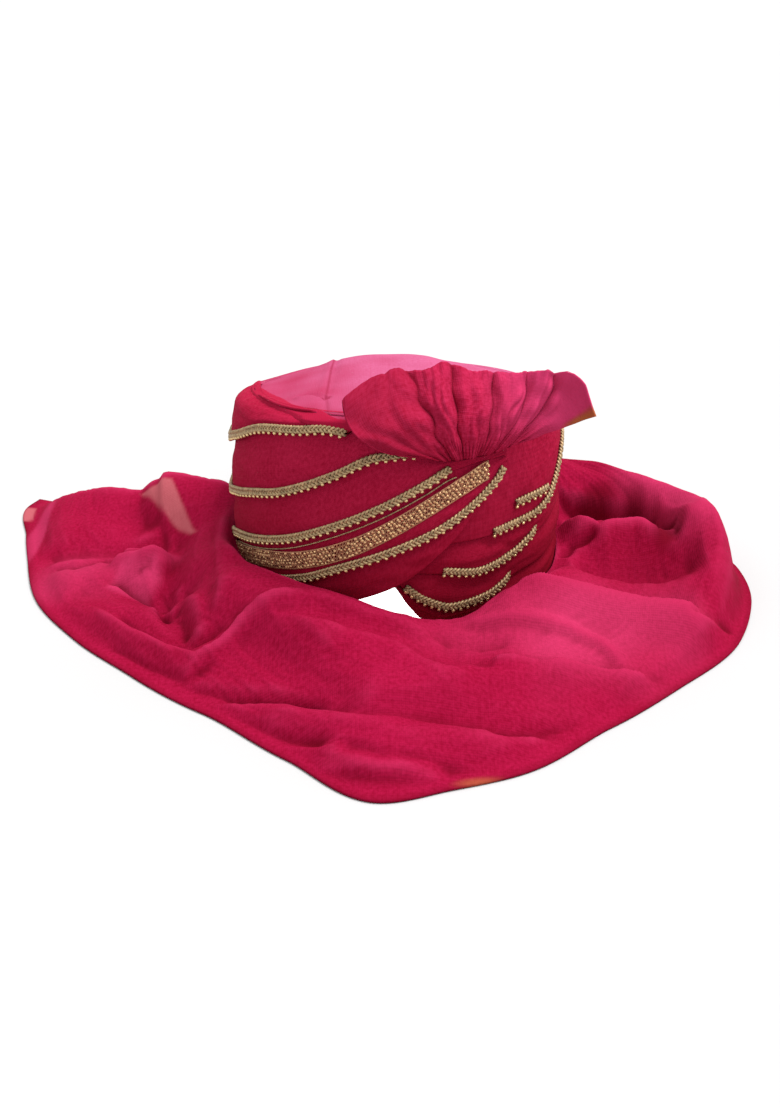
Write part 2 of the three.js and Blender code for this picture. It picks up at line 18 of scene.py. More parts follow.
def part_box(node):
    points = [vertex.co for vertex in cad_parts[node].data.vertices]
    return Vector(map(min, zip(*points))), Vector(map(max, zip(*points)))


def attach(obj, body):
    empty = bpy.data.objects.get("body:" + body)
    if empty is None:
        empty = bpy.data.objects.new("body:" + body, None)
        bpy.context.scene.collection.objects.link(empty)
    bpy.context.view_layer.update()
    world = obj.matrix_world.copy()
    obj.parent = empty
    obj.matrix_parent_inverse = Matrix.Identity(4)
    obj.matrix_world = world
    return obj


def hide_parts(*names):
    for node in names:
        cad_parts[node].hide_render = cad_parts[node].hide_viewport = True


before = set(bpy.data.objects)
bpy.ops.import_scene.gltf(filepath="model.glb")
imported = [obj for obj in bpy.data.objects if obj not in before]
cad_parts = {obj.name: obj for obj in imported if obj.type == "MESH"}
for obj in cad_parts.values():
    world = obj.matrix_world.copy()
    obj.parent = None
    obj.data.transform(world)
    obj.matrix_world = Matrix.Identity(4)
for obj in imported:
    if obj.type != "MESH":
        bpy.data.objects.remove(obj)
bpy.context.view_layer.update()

bl_info = {
    "name": "Tied Turban",
    "version": (1, 0, 0),
    "blender": (4, 5, 0),
    "location": "3D View > Sidebar > Turban",
    "description": "Builds a tied turban with gold braids, a pleated fan and a loose tail",
    "category": "Add Mesh",
}

# Wound body
BODY_TAPER = 0.035
WINDING_THICKNESS = 0.0295
PANEL_THICKNESS = 0.004
RIM_ROUND = 0.009
RIM_CREST = 0.016
RIM_DIP = 0.008
THIN_RIM = 0.003
SEAM_RISE = 0.004
LAP_OUT = 0.002
BULGE_OUT = 0.0004
UNDER_LAP = 0.007
LAY_GAP = 0.0004
PIECE_GAP = 0.00035
EDGE_ROUND = 0.0012
RIM_SAG = 0.0036
RIM_SAG_TURN = 150
RIM_SAG_REACH = 24
START_TURN = -104
FIRST_END_TURN = 252
PANEL_END_TURN = 308
PANEL_IN_TURN = 247
PANEL_OUT_TURN = 253
UNDERLAP_TURNS = (-49, -27)
TAPER_FROM = 0.45
LIP_GAP = 0.0003
SAME_PLACE = 1e-7

# Crown cap
CAP_BACK_INSET = 0.0175
CAP_FRONT_INSET = 0.012
CAP_GAP = 0.0009
CAP_RISE = 0.010

# The body's axis, found from the cap's box
CAP_LOW, CAP_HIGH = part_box("crown")
BODY_DEPTH = 0.260
AXIS = Vector(((CAP_LOW.x + CAP_HIGH.x) / 2, CAP_HIGH.y - (BODY_DEPTH / 2 - CAP_BACK_INSET), 0))

# Lower edges of the windings, each a share of the body's height
FIRST_EDGE = {
    "turn": (-104, -72, -55, -38, -30, -24, -16, -6, 15, 50, 90, 135, 180, 201, 221, 237, 248, 256),
    "height": (0.53, 0.52, 0.515, 0.53, 0.57, 0.63, 0.71, 0.78, 0.81, 0.78, 0.74, 0.72, 0.74,
               0.85, 0.98, 1.03, 1.06, 1.055),
}
SECOND_EDGE = {
    "turn": (-104, -74, -60, -46, -34, 0, 45, 90, 135, 180, 203, 217, 229, 241, 251, 264, 276,
             290, 308),
    "height": (0.41, 0.37, 0.335, 0.365, 0.445, 0.53, 0.53, 0.51, 0.47, 0.47, 0.57, 0.645, 0.705,
               0.785, 0.86, 0.955, 0.975, 0.955, 0.95),
}
THIRD_EDGE = {
    "turn": (-104, -92, -81, -70, -57, -42, 0, 45, 90, 135, 180, 203, 219, 233, 251, 267, 279,
             288, 298, 308),
    "height": (0.36, 0.345, 0.235, 0.175, 0.19, 0.26, 0.32, 0.34, 0.3, 0.24, 0.23, 0.34, 0.415,
               0.49, 0.615, 0.735, 0.83, 0.895, 0.915, 0.915),
}
FOURTH_EDGE = {
    "turn": (-104, -92, -86, -81, -74, 0, 90, 180, 205, 225, 240, 251, 270, 283, 294, 303, 308),
    "height": (0.35, 0.33, 0.22, 0.14, 0.09, 0.1, 0.1, 0.09, 0.15, 0.24, 0.32, 0.4, 0.52, 0.605,
               0.7, 0.795, 0.86),
}
HEM_EDGE = {
    "turn": (-74, 196, 213, 230, 245, 259, 272, 283, 291, 296),
    "height": (0, 0, 0.035, 0.115, 0.2, 0.275, 0.365, 0.49, 0.6, 0.68),
}
LACE_MIDDLE = {
    "turn": (180, 200, 219, 237, 255, 270, 283, 292, 301),
    "height": (0.16, 0.245, 0.335, 0.415, 0.53, 0.655, 0.765, 0.83, 0.875),
}
BRANCH_MIDDLE = {"turn": (-48, -41, -30), "height": (0.64, 0.648, 0.655)}

# Fan ribs from its left corner, 0, to its right tip, 1, each an arc from foot by knee to top.
# across is a share of the span, up of the reach above the foot, and back of the lean.
FAN_RIB = (0, 0.09, 0.18, 0.27, 0.38, 0.5, 0.64, 0.77, 0.88, 0.95, 1)
FAN_FOOT = {
    "rib": FAN_RIB,
    "across": (0.13, 0.16, 0.19, 0.22, 0.25, 0.29, 0.34, 0.38, 0.42, 0.44, 0.456),
    "up": (0.09, 0.04, 0.02, 0.02, 0.02, 0.02, 0.02, 0.02, 0.03, 0.04, 0.05),
}
FAN_KNEE = {
    "rib": FAN_RIB,
    "across": (-0.17, -0.09, 0.02, 0.12, 0.2, 0.3, 0.41, 0.5, 0.57, 0.6, 0.62),
    "up": (0.1, 0.3, 0.42, 0.45, 0.48, 0.48, 0.44, 0.42, 0.36, 0.21, 0.09),
}
FAN_TOP = {
    "rib": FAN_RIB,
    "across": (-0.205, -0.08, 0, 0.08, 0.18, 0.3, 0.42, 0.54, 0.64, 0.72, 0.762),
    "up": (0.62, 0.78, 0.85, 0.81, 0.9, 0.85, 0.82, 0.82, 0.81, 0.68, 0.39),
    "back": (0.22, 0.5, 0.62, 0.62, 0.74, 0.74, 0.76, 0.82, 0.88, 0.78, 0.6),
}
FAN_FOLDS = {
    "rib": FAN_RIB,
    "fold": (0, 0.16, 0.32, 0.6, 1.38, 2.05, 2.8, 3.7, 4.55, 4.9, 5),
}

# Heap of the tail: its outer reach, and its height at four lanes from the inner to the outer edge
TAIL_HEAP = {
    "turn": (50, 36, 23, 10, -2, -14, -27, -45, -60, -75, -84, -92, -104, -120, -136, -152,
             -167, -180, -190, -200),
    "reach": (0.55, 0.62, 0.67, 0.78, 0.85, 0.865, 0.865, 0.842, 0.862, 0.938, 0.965, 1, 0.888,
              0.8, 0.788, 0.82, 0.876, 0.92, 0.98, 1.065),
    "inner": (0.5, 0.5, 0.45, 0.4, 0.45, 0.45, 0.45, 0.45, 0.3, 0.15, 0.15, 0.15, 0.2, 0.25,
              0.4, 0.6, 0.7, 0.75, 0.8, 0.8),
    "crest": (0.8, 0.85, 0.7, 0.55, 0.62, 0.5, 0.62, 0.8, 0.8, 0.6, 0.66, 0.78, 0.92, 0.98,
              0.95, 0.85, 0.7, 0.68, 0.82, 0.95),
    "middle": (0.9, 1, 0.8, 0.55, 0.6, 0.42, 0.5, 0.5, 0.55, 0.5, 0.52, 0.55, 0.6, 0.62, 0.58,
               0.36, 0.3, 0.2, 0.46, 0.78),
    "fall": (0.7, 0.85, 0.95, 0.95, 1.02, 0.84, 0.42, 0.24, 0.2, 0.2, 0.2, 0.2, 0.2, 0.2, 0.2,
             0.2, 0.26, 0.22, 0.32, 0.32),
}
HEAP_LANES = (0, 0.12, 0.45, 0.8, 1)

# How steeply a crease rises at its two ends, and how much of it is there at the very end
CREASE_ENDS = (6, 0.12)
BROAD_ENDS = (5, 0.35)


def fold(rise, left, right, *route):
    """A ridge, or a furrow where rise is negative, with its spread on each side of its route."""
    return {"rise": rise, "left": left, "right": right, "route": route}


# Larger folds of the heap, each rise a share of the tail's loft
BROAD_FOLDS = (
    fold(0.2, 0.016, 0.016, (-56, 0.12), (-32, 0.9)),
    fold(-0.3, 0.018, 0.018, (-22, 0.1), (-14, 0.75)),
    fold(-0.4, 0.015, 0.015, (12, 0.12), (4, 0.62)),
    fold(0.12, 0.014, 0.014, (0, 0.1), (-4, 0.8)),
    fold(-0.05, 0.018, 0.018, (-58, 0.5), (-96, 0.3)),
    fold(0.10, 0.016, 0.016, (-58, 0.72), (-98, 0.62)),
    fold(-0.06, 0.016, 0.016, (-96, 0.66), (-128, 0.5)),
    fold(0.14, 0.014, 0.014, (-100, 0.42), (-138, 0.36)),
    fold(-0.14, 0.014, 0.014, (-146, 0.3), (-166, 0.85)),
    fold(0.2, 0.015, 0.015, (-166, 0.42), (-178, 0.5)),
    fold(-0.14, 0.013, 0.013, (-181, 0.3), (-180, 0.95)),
)

# Creases of the tail's cloth, each rise and spread in metres. The routes are over (turn, lane).
# Along growing turns, the left side is towards the body and the right side towards the hem.
# The smaller the spread on a side, the more steeply the cloth falls away there.
CREASES = (
    # Two ridges that run along the heap's front
    fold(0.005, 0.010, 0.006, (-126, 0.61), (-119, 0.38), (-112, 0.23), (-104, 0.18), (-96, 0.17),
         (-88, 0.17), (-83, 0.22), (-79, 0.31)),
    fold(0.004, 0.005, 0.012, (-129, 0.83), (-125, 0.67), (-123, 0.51), (-118, 0.43), (-109, 0.40),
         (-100, 0.34), (-90, 0.30), (-83, 0.48), (-77, 0.56)),
    # Tuck where they meet the right half
    fold(-0.0035, 0.010, 0.007, (-87, 0.20), (-81, 0.23), (-78, 0.38), (-72, 0.52), (-62, 0.65)),
    fold(-0.0025, 0.006, 0.003, (-84, 0.20), (-79, 0.26), (-73, 0.33), (-66, 0.40)),
    # Long fold over the front
    fold(-0.007, 0.005, 0.003, (-126, 0.93), (-120, 0.88), (-114, 0.81), (-107, 0.71),
         (-100, 0.66)),
    fold(-0.005, 0.012, 0.004, (-110, 0.76), (-100, 0.65), (-95, 0.63), (-88, 0.64), (-82, 0.70),
         (-76, 0.78), (-68, 0.90), (-62, 1.0)),
    fold(0.004, 0.007, 0.014, (-112, 0.86), (-100, 0.75), (-90, 0.73), (-82, 0.79), (-74, 0.9)),
    # Lower furrows and the fold above the front corner
    fold(-0.005, 0.005, 0.003, (-117, 1.0), (-108, 0.93), (-103, 0.88), (-98, 0.82)),
    fold(-0.003, 0.003, 0.006, (-98, 0.82), (-92, 0.81), (-86, 0.86), (-80, 0.97)),
    fold(0.005, 0.012, 0.0025, (-101, 0.98), (-97, 0.91), (-92, 0.88), (-88, 0.90), (-84, 0.97)),
    # Crest that overlaps the pockets on the right
    fold(0.005, 0.0025, 0.016, (-66, 0.15), (-55.5, 0.16), (-49, 0.27), (-43, 0.375), (-40, 0.45),
         (-36, 0.57), (-34, 0.67), (-31.5, 0.82), (-26, 0.95)),
    fold(-0.013, 0.018, 0.0022, (-60, 0.09), (-53, 0.12), (-46, 0.25), (-40, 0.355), (-37, 0.44),
         (-33, 0.56), (-31, 0.66), (-28.5, 0.80)),
    fold(0.0045, 0.008, 0.003, (-77, 0.15), (-67, 0.25), (-60, 0.35), (-54, 0.475), (-51, 0.61),
         (-50, 0.82)),
    fold(0.006, 0.003, 0.012, (-75, 0.42), (-72, 0.46), (-64, 0.62), (-56, 0.75), (-50, 0.88),
         (-47, 0.97)),
    fold(-0.003, 0.006, 0.003, (-78, 0.80), (-70, 0.85), (-64, 0.96)),
    fold(-0.004, 0.003, 0.002, (-34, 0.80), (-28, 0.89), (-25, 0.96)),
    # Back ridge on the right and the lobes inside it
    fold(0.0012, 0.006, 0.012, (-12, 0.96), (-8, 0.84), (8, 0.80), (18, 0.84), (27, 0.82),
         (37, 0.66)),
    fold(-0.015, 0.004, 0.013, (26, 0.14), (19, 0.26), (15, 0.42), (11, 0.54), (6, 0.61),
         (0, 0.64), (-5, 0.63), (-9, 0.60)),
    fold(0.007, 0.010, 0.005, (-8, 0.56), (-5, 0.50), (-2, 0.44), (-4, 0.30), (-6, 0.22),
         (-2, 0.13), (10, 0.08)),
    fold(-0.007, 0.005, 0.004, (-16, 0.03), (-9, 0.08), (-6, 0.22)),
    # Left part: soft furrow from the edge, lit cone and the hollow beside it
    fold(-0.005, 0.003, 0.010, (-176, 0.94), (-175, 0.77), (-178, 0.64), (-175, 0.57),
         (-173, 0.47), (-168, 0.40)),
    fold(0.008, 0.010, 0.008, (-173, 0.60), (-169, 0.47), (-165, 0.33)),
    fold(-0.007, 0.006, 0.0025, (-166, 0.67), (-164.8, 0.60), (-161.8, 0.57), (-158, 0.54),
         (-151, 0.53), (-143, 0.60)),
    fold(-0.008, 0.012, 0.009, (-193, 0.40), (-184, 0.29), (-172, 0.26), (-162, 0.34),
         (-156, 0.42), (-143, 0.57), (-134, 0.64), (-128, 0.67)),
    fold(0.004, 0.012, 0.004, (-181, 0.05), (-164, 0.08), (-150, 0.16), (-143, 0.23), (-134, 0.37),
         (-131.5, 0.46), (-131, 0.58)),
    fold(0.005, 0.022, 0.003, (-212, 0.36), (-200, 0.36), (-192, 0.35), (-184, 0.31), (-178, 0.30)),
    fold(-0.010, 0.008, 0.022, (-214, 0.50), (-202, 0.49), (-194, 0.46), (-186, 0.40)),
    fold(0.0045, 0.003, 0.006, (-158, 0.82), (-145, 0.815), (-135, 0.785), (-128, 0.74),
         (-125, 0.62), (-123, 0.45), (-119, 0.36), (-112, 0.22)),
    fold(-0.0035, 0.006, 0.0025, (-152, 0.77), (-138, 0.74), (-131.5, 0.68), (-128.5, 0.58),
         (-127, 0.46)),
    fold(-0.004, 0.003, 0.008, (-146, 0.93), (-136, 0.91), (-127, 0.86), (-123, 0.70)),
    fold(-0.003, 0.004, 0.005, (-134, 0.64), (-139, 0.56), (-146, 0.49)),
    fold(0.004, 0.006, 0.005, (-130, 0.62), (-135, 0.53), (-140, 0.46), (-150, 0.40)),
    fold(0.004, 0.005, 0.004, (-152, 0.56), (-147, 0.50), (-150, 0.42), (-156, 0.36)),
    # Rolled lip beside the body on the left
    fold(0.003, 0.005, 0.009, (-188, 0.03), (-178, 0.05), (-160, 0.07), (-140, 0.14)),
)


def linear(red, green, blue):
    """A colour given in 0 to 255 as the eye sees it, in the shaders' linear values."""
    shares = [channel / 255 for channel in (red, green, blue)]
    return tuple(s / 12.92 if s <= 0.04045 else ((s + 0.055) / 1.055) ** 2.4 for s in shares)


def length_property(name, description, default):
    return FloatProperty(name=name, description=description, default=default, min=0.0,
                         subtype="DISTANCE", unit="LENGTH", precision=4)


def colour_property(name, description, *channels):
    return FloatVectorProperty(name=name, description=description, default=linear(*channels),
                               subtype="COLOR", min=0.0, max=1.0)


class TurbanSizes(PropertyGroup):
    """Sizes of the turban that a user would change."""

    body_width: length_property("Body width", "Width of the wound body", 0.232)
    body_depth: length_property("Body depth", "Depth of the wound body", BODY_DEPTH)
    body_height: length_property("Body height", "Height of the wound body at its side", 0.141)
    rim_tilt: length_property("Rim tilt", "How much higher the rim is at the front", 0.018)
    braid_width: length_property("Braid width", "Width of the gold braids", 0.0056)
    strand_radius: length_property("Strand radius", "Radius of a strand of the braid", 0.00095)
    bead_radius: length_property("Bead radius", "Radius of the beads under the braids", 0.0013)
    bead_spacing: length_property("Bead spacing", "Distance between two beads", 0.0056)
    lace_width: length_property("Lace width", "Width of the sequin lace", 0.012)
    fan_reach: length_property("Fan reach", "Height of the fan above its foot", 0.060)
    fan_span: length_property("Fan span", "Width of the fan from corner to tip", 0.160)
    fan_lean: length_property("Fan lean", "How far the fan leans back", 0.050)
    pleat_depth: length_property("Pleat depth", "Depth of the fan's pleats", 0.008)
    tail_reach: length_property("Tail reach", "Reach of the loose tail from the axis", 0.300)
    tail_loft: length_property("Tail loft", "Height of the heap of the tail", 0.050)
    tail_columns: IntProperty(name="Tail columns", description="Faces along the tail",
                              default=440, min=40, max=600)


class TurbanColours(PropertyGroup):
    """Colours of the turban that a user would change."""

    crimson: colour_property("Crimson", "Cloth of the windings", 159, 25, 58)
    crimson_deep: colour_property("Deep crimson", "Cloth in its darker patches", 138, 12, 42)
    # Painted shade: the windings towards the floor, and the fan in its pleats and on its left
    crimson_shade: colour_property("Dark crimson", "Cloth low on the body and in furrows",
                                  104, 3, 16)
    pink: colour_property("Pink", "Faded cloth over the crown", 172, 84, 120)
    rose: colour_property("Rose", "Cloth of the tail", 142, 14, 52)
    rose_deep: colour_property("Deep rose", "Cloth of the tail in its darker patches",
                               122, 4, 36)
    # Painted shade in the tail's furrows, pockets and hem
    rose_shade: colour_property("Dark rose", "Cloth of the tail in its furrows", 84, 1, 15)
    # Painted light: the colour of cloth where light falls on it or shines through it
    blush: colour_property("Blush", "Cloth where it is faded and lit", 180, 50, 92)
    thin_voile: colour_property("Thin voile", "Single layer that lets light through",
                                158, 76, 84)
    amber: colour_property("Amber", "Gold-dyed corner of the cloth", 156, 84, 50)
    zari: colour_property("Zari", "Strands of the braids", 202, 172, 128)
    bead: colour_property("Bead", "Beads under the braids", 236, 206, 150)
    copper: colour_property("Copper zari", "Threads and sequins of the lace",
                            206, 146, 110)


def smooth(value):
    """0 up to 0 and 1 from 1 on, with a smooth way between."""
    value = np.clip(value, 0, 1)
    return value * value * (3 - 2 * value)


def ramp(value, start, end):
    """0 at start and before it, 1 at end and past it. start may be the higher of the two."""
    return smooth((value - start) / (end - start))


def mix(low, high, share):
    return low + (high - low) * share


def mixed(first, second, share):
    """A colour between two others."""
    return tuple(mix(a, b, share) for a, b in zip(first, second))


def darker(colour, share):
    return tuple(channel * share for channel in colour)


def unit(vectors):
    """The vectors brought to a length of 1."""
    return vectors / np.linalg.norm(vectors, axis=-1, keepdims=True)


def from_axis(points):
    """x and y of places, measured from the body's axis."""
    return points[..., 0] - AXIS.x, points[..., 1] - AXIS.y


def distances(path):
    """Distance of each point of a path from its start."""
    steps = np.linalg.norm(np.diff(path, axis=0), axis=1)
    return np.concatenate([[0], np.cumsum(steps)])


def hermite(keys, values, at):
    """Smooth value between rows, flat at the ends and at each peak or dip.

    values may also hold a row of values for each key, and then the answer holds one for each at.
    """
    keys = np.asarray(keys, float)
    values = np.asarray(values, float)
    if keys[-1] < keys[0]:
        keys, values = keys[::-1], values[::-1]
    over_rows = (-1,) + (1,) * (values.ndim - 1)
    steep = np.diff(values, axis=0) / np.diff(keys).reshape(over_rows)
    before, after = steep[:-1], steep[1:]
    product = before * after
    total = np.where(product > 0, before + after, 1)
    flat = np.zeros_like(values[:1])
    slopes = np.concatenate([flat, np.where(product > 0, 2 * product / total, 0), flat])
    at = np.clip(at, keys[0], keys[-1])
    k = np.clip(np.searchsorted(keys, at, side="right") - 1, 0, len(keys) - 2)
    span = keys[k + 1] - keys[k]
    share = (at - keys[k]) / span
    if values.ndim > 1:
        span, share = span.reshape(over_rows), share.reshape(over_rows)
    bend = slopes[k] * share * (1 - share) ** 2 - slopes[k + 1] * share * share * (1 - share)
    return mix(values[k], values[k + 1], smooth(share)) + span * bend


def along(table, key, column, at):
    """Smooth value of one column of a table between its rows."""
    return hermite(table[key], table[column], at)


def ripples(across, along_it, seed, waves=9):
    """Gentle irregular waves of about one unit's length, between about -1 and 1."""
    rng = np.random.default_rng(seed)
    total = 0
    for _ in range(waves):
        heading, phase = rng.uniform(0, 2 * np.pi, 2)
        pace = rng.uniform(0.6, 1.5)
        wave = pace * (across * np.cos(heading) + along_it * np.sin(heading))
        total = total + np.sin(2 * np.pi * wave + phase)
    return total / math.sqrt(waves)


def blurred(values, reach):
    """Values of a grid averaged with their neighbours up to reach steps away."""
    for axis, steps in enumerate(reach):
        kernel = np.hanning(2 * steps + 3)[1:-1]
        kernel /= kernel.sum()
        pad = [(steps, steps) if k == axis else (0, 0) for k in range(2)]
        padded = np.pad(values, pad, mode="edge")
        values = np.apply_along_axis(np.convolve, axis, padded, kernel, mode="valid")
    return values


class Body:
    """The wound body as a surface of turn and height, and places measured out from it."""

    def __init__(self, sizes):
        self.width = sizes.body_width
        self.depth = sizes.body_depth
        self.height = sizes.body_height
        self.tilt = sizes.rim_tilt
        self.braid_width = sizes.braid_width

    def rim(self, turn):
        """Height of the rim, which rises to the front and sags at the back left."""
        sag = RIM_SAG * np.exp(-(((turn - RIM_SAG_TURN) / RIM_SAG_REACH) ** 2))
        return self.height - self.tilt * np.sin(np.radians(turn)) - sag

    def taper(self, height):
        """The body's width at a height, as a share of its greatest."""
        return 1 - BODY_TAPER * ((height / self.height - TAPER_FROM) / (1 - TAPER_FROM)) ** 2

    def point(self, turn, height, out=0.0):
        """A place on the body's face, or out from it."""
        turn, height, out = np.broadcast_arrays(turn, height, out)
        normal = self.outward(turn)
        taper = self.taper(height)
        x = self.width / 2 * taper * np.cos(np.radians(turn)) + out * normal[..., 0]
        y = self.depth / 2 * taper * np.sin(np.radians(turn)) + out * normal[..., 1]
        return np.stack([x + AXIS.x, y + AXIS.y, height], -1)

    def outward(self, turn):
        """The level direction straight out of the body's face."""
        cos, sin = np.cos(np.radians(turn)), np.sin(np.radians(turn))
        return unit(np.stack([cos / self.width, sin / self.depth, np.zeros_like(cos)], -1))

    def ring(self, turn, inset, height):
        """A place on an oval that lies inside the body's face, without its taper."""
        turn, inset, height = np.broadcast_arrays(turn, inset, height)
        x = (self.width / 2 - inset) * np.cos(np.radians(turn))
        y = (self.depth / 2 - inset) * np.sin(np.radians(turn))
        return np.stack([x + AXIS.x, y + AXIS.y, height], -1)

    def radius(self, turn):
        """Distance from the axis to the body's face, seen from above."""
        x = np.cos(np.radians(turn)) / (self.width / 2)
        y = np.sin(np.radians(turn)) / (self.depth / 2)
        return 1 / np.hypot(x, y)

    def edge(self, table, turn):
        return self.height * along(table, "turn", "height", turn)

    def on_lip(self, table, turn):
        """Height of the middle of a braid that lies on a winding's lip."""
        return self.edge(table, turn) + self.braid_width / 2 + LIP_GAP

    def lap_depth(self, turn):
        """The start of the winding lies deeper, under the end that laps over it."""
        return -UNDER_LAP * (1 - ramp(turn, *UNDERLAP_TURNS))

    def trim_back(self, turn):
        """How far out of the body the back of a trim lies."""
        return self.lap_depth(turn) + LAP_OUT + PIECE_GAP

    def rim_face(self, turn, inset):
        """Height of the rim, which falls away inwards from its crest."""
        slope = RIM_DIP / (WINDING_THICKNESS - RIM_CREST)
        return self.rim(turn) - slope * np.maximum(0, inset - RIM_CREST)


def add_grid(bm, points, closed=False, planar=False, painted=None):
    """Adds a grid of faces through points[row, column] to bm, with UVs in metres.

    closed welds the last row, which repeats the first, so that the grid becomes a tube.
    planar takes the UVs from above. painted holds values for each point by their name.
    """
    rows, columns = points.shape[:2]
    uv_layer = bm.loops.layers.uv.verify()
    layers = {name: bm.verts.layers.float.get(name) or bm.verts.layers.float.new(name)
              for name in painted or {}}
    faces_before = len(bm.faces)
    made = bmesh.ops.create_grid(bm, x_segments=columns - 1, y_segments=rows - 1, size=1.0)
    steps_u = np.linalg.norm(np.diff(points, axis=1), axis=2).mean(axis=0)
    steps_v = np.linalg.norm(np.diff(points, axis=0), axis=2).mean(axis=1)
    u = np.concatenate([[0], np.cumsum(steps_u)])
    v = np.concatenate([[0], np.cumsum(steps_v)])
    cell = {}
    for vert in made["verts"]:
        column = round((vert.co.x + 1) / 2 * (columns - 1))
        row = round((vert.co.y + 1) / 2 * (rows - 1))
        cell[vert] = (row, column)
        vert.co = points[row, column]
        for name, layer in layers.items():
            vert[layer] = painted[name][row, column]
    bm.faces.ensure_lookup_table()
    for face in bm.faces[faces_before:]:
        face.smooth = True
        for loop in face.loops:
            row, column = cell[loop.vert]
            loop[uv_layer].uv = loop.vert.co.xy if planar else (u[column], v[row])
    if closed:
        seam = [vert for vert in made["verts"] if cell[vert][0] in (0, rows - 1)]
        bmesh.ops.remove_doubles(bm, verts=seam, dist=SAME_PLACE)


def finish_mesh(bm, name, materials, outwards=True):
    """Turns a bmesh into a piece of the turban with its materials."""
    if outwards:
        bmesh.ops.recalc_face_normals(bm, faces=bm.faces)
    mesh = bpy.data.meshes.new(name)
    bm.to_mesh(mesh)
    bm.free()
    piece = bpy.data.objects.new(name, mesh)
    bpy.context.scene.collection.objects.link(piece)
    for material in materials:
        mesh.materials.append(material)
    return piece


def cap_ends(bm):
    """Closes the open ends of tubes."""
    rim = [edge for edge in bm.edges if edge.is_boundary]
    bmesh.ops.holes_fill(bm, edges=rim, sides=0)


def seat(piece, node):
    """Puts a finished piece on the turban, in place of its plain solid."""
    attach(piece, "root")
    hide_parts(node)


def tube_points(path, outward, radius, sides):
    """Rows of points round a path, each row one step round its section."""
    tangent = unit(np.gradient(path, axis=0))
    normal = unit(outward - (outward * tangent).sum(1, keepdims=True) * tangent)
    side = np.cross(tangent, normal)
    angles = np.linspace(0, 2 * np.pi, sides + 1)
    return np.array([path + radius * (math.cos(a) * normal + math.sin(a) * side) for a in angles])


def thicken(piece, thickness, offset):
    """Gives a cloth its thickness, with offset -1 putting it behind the surface."""
    solid = piece.modifiers.new("thickness", "SOLIDIFY")
    solid.thickness = thickness
    solid.offset = offset


def crease(x, y, row, route, ends=CREASE_ENDS):
    """Height that a fold's row adds at x, y along a route, which is its own in metres."""
    route = np.asarray(route)
    steps = np.diff(route, axis=0)
    lengths = np.linalg.norm(steps, axis=1)
    before = distances(route)
    nearest = np.full(np.shape(x), np.inf)
    side = np.zeros(np.shape(x))
    at = np.zeros(np.shape(x))
    for k, (step, length) in enumerate(zip(steps, lengths)):
        off_x, off_y = x - route[k, 0], y - route[k, 1]
        share = np.clip((off_x * step[0] + off_y * step[1]) / length**2, 0, 1)
        away = np.hypot(off_x - share * step[0], off_y - share * step[1])
        closer = away < nearest
        nearest = np.where(closer, away, nearest)
        side = np.where(closer, step[0] * off_y - step[1] * off_x, side)
        at = np.where(closer, before[k] + share * length, at)
    spread = np.where(side > 0, row["left"], row["right"])
    share = at / before[-1]
    fade = smooth(np.minimum(share, 1 - share) * ends[0] + ends[1])
    return row["rise"] * fade * np.exp(-((nearest / spread) ** 2))


class Shade:
    """A number that varies over a surface. Python's operators add its Math nodes."""

    def __init__(self, finish, socket):
        self.finish = finish
        self.socket = socket

    def calculate(self, operation, first, second):
        node = self.finish.add("ShaderNodeMath", {"operation": operation}, {0: first, 1: second})
        return Shade(self.finish, node.outputs[0])

    def __add__(self, other):
        return self.calculate("ADD", self, other)

    def __sub__(self, other):
        return self.calculate("SUBTRACT", self, other)

    def __rsub__(self, other):
        return self.calculate("SUBTRACT", other, self)

    def __mul__(self, other):
        return self.calculate("MULTIPLY", self, other)

    def __gt__(self, other):
        return self.calculate("GREATER_THAN", self, other)

    def __abs__(self):
        return self.calculate("ABSOLUTE", self, 0.0)

    def clamped(self):
        low = self.calculate("MAXIMUM", self, 0.0)
        return self.calculate("MINIMUM", low, 1.0)

    __radd__ = __add__


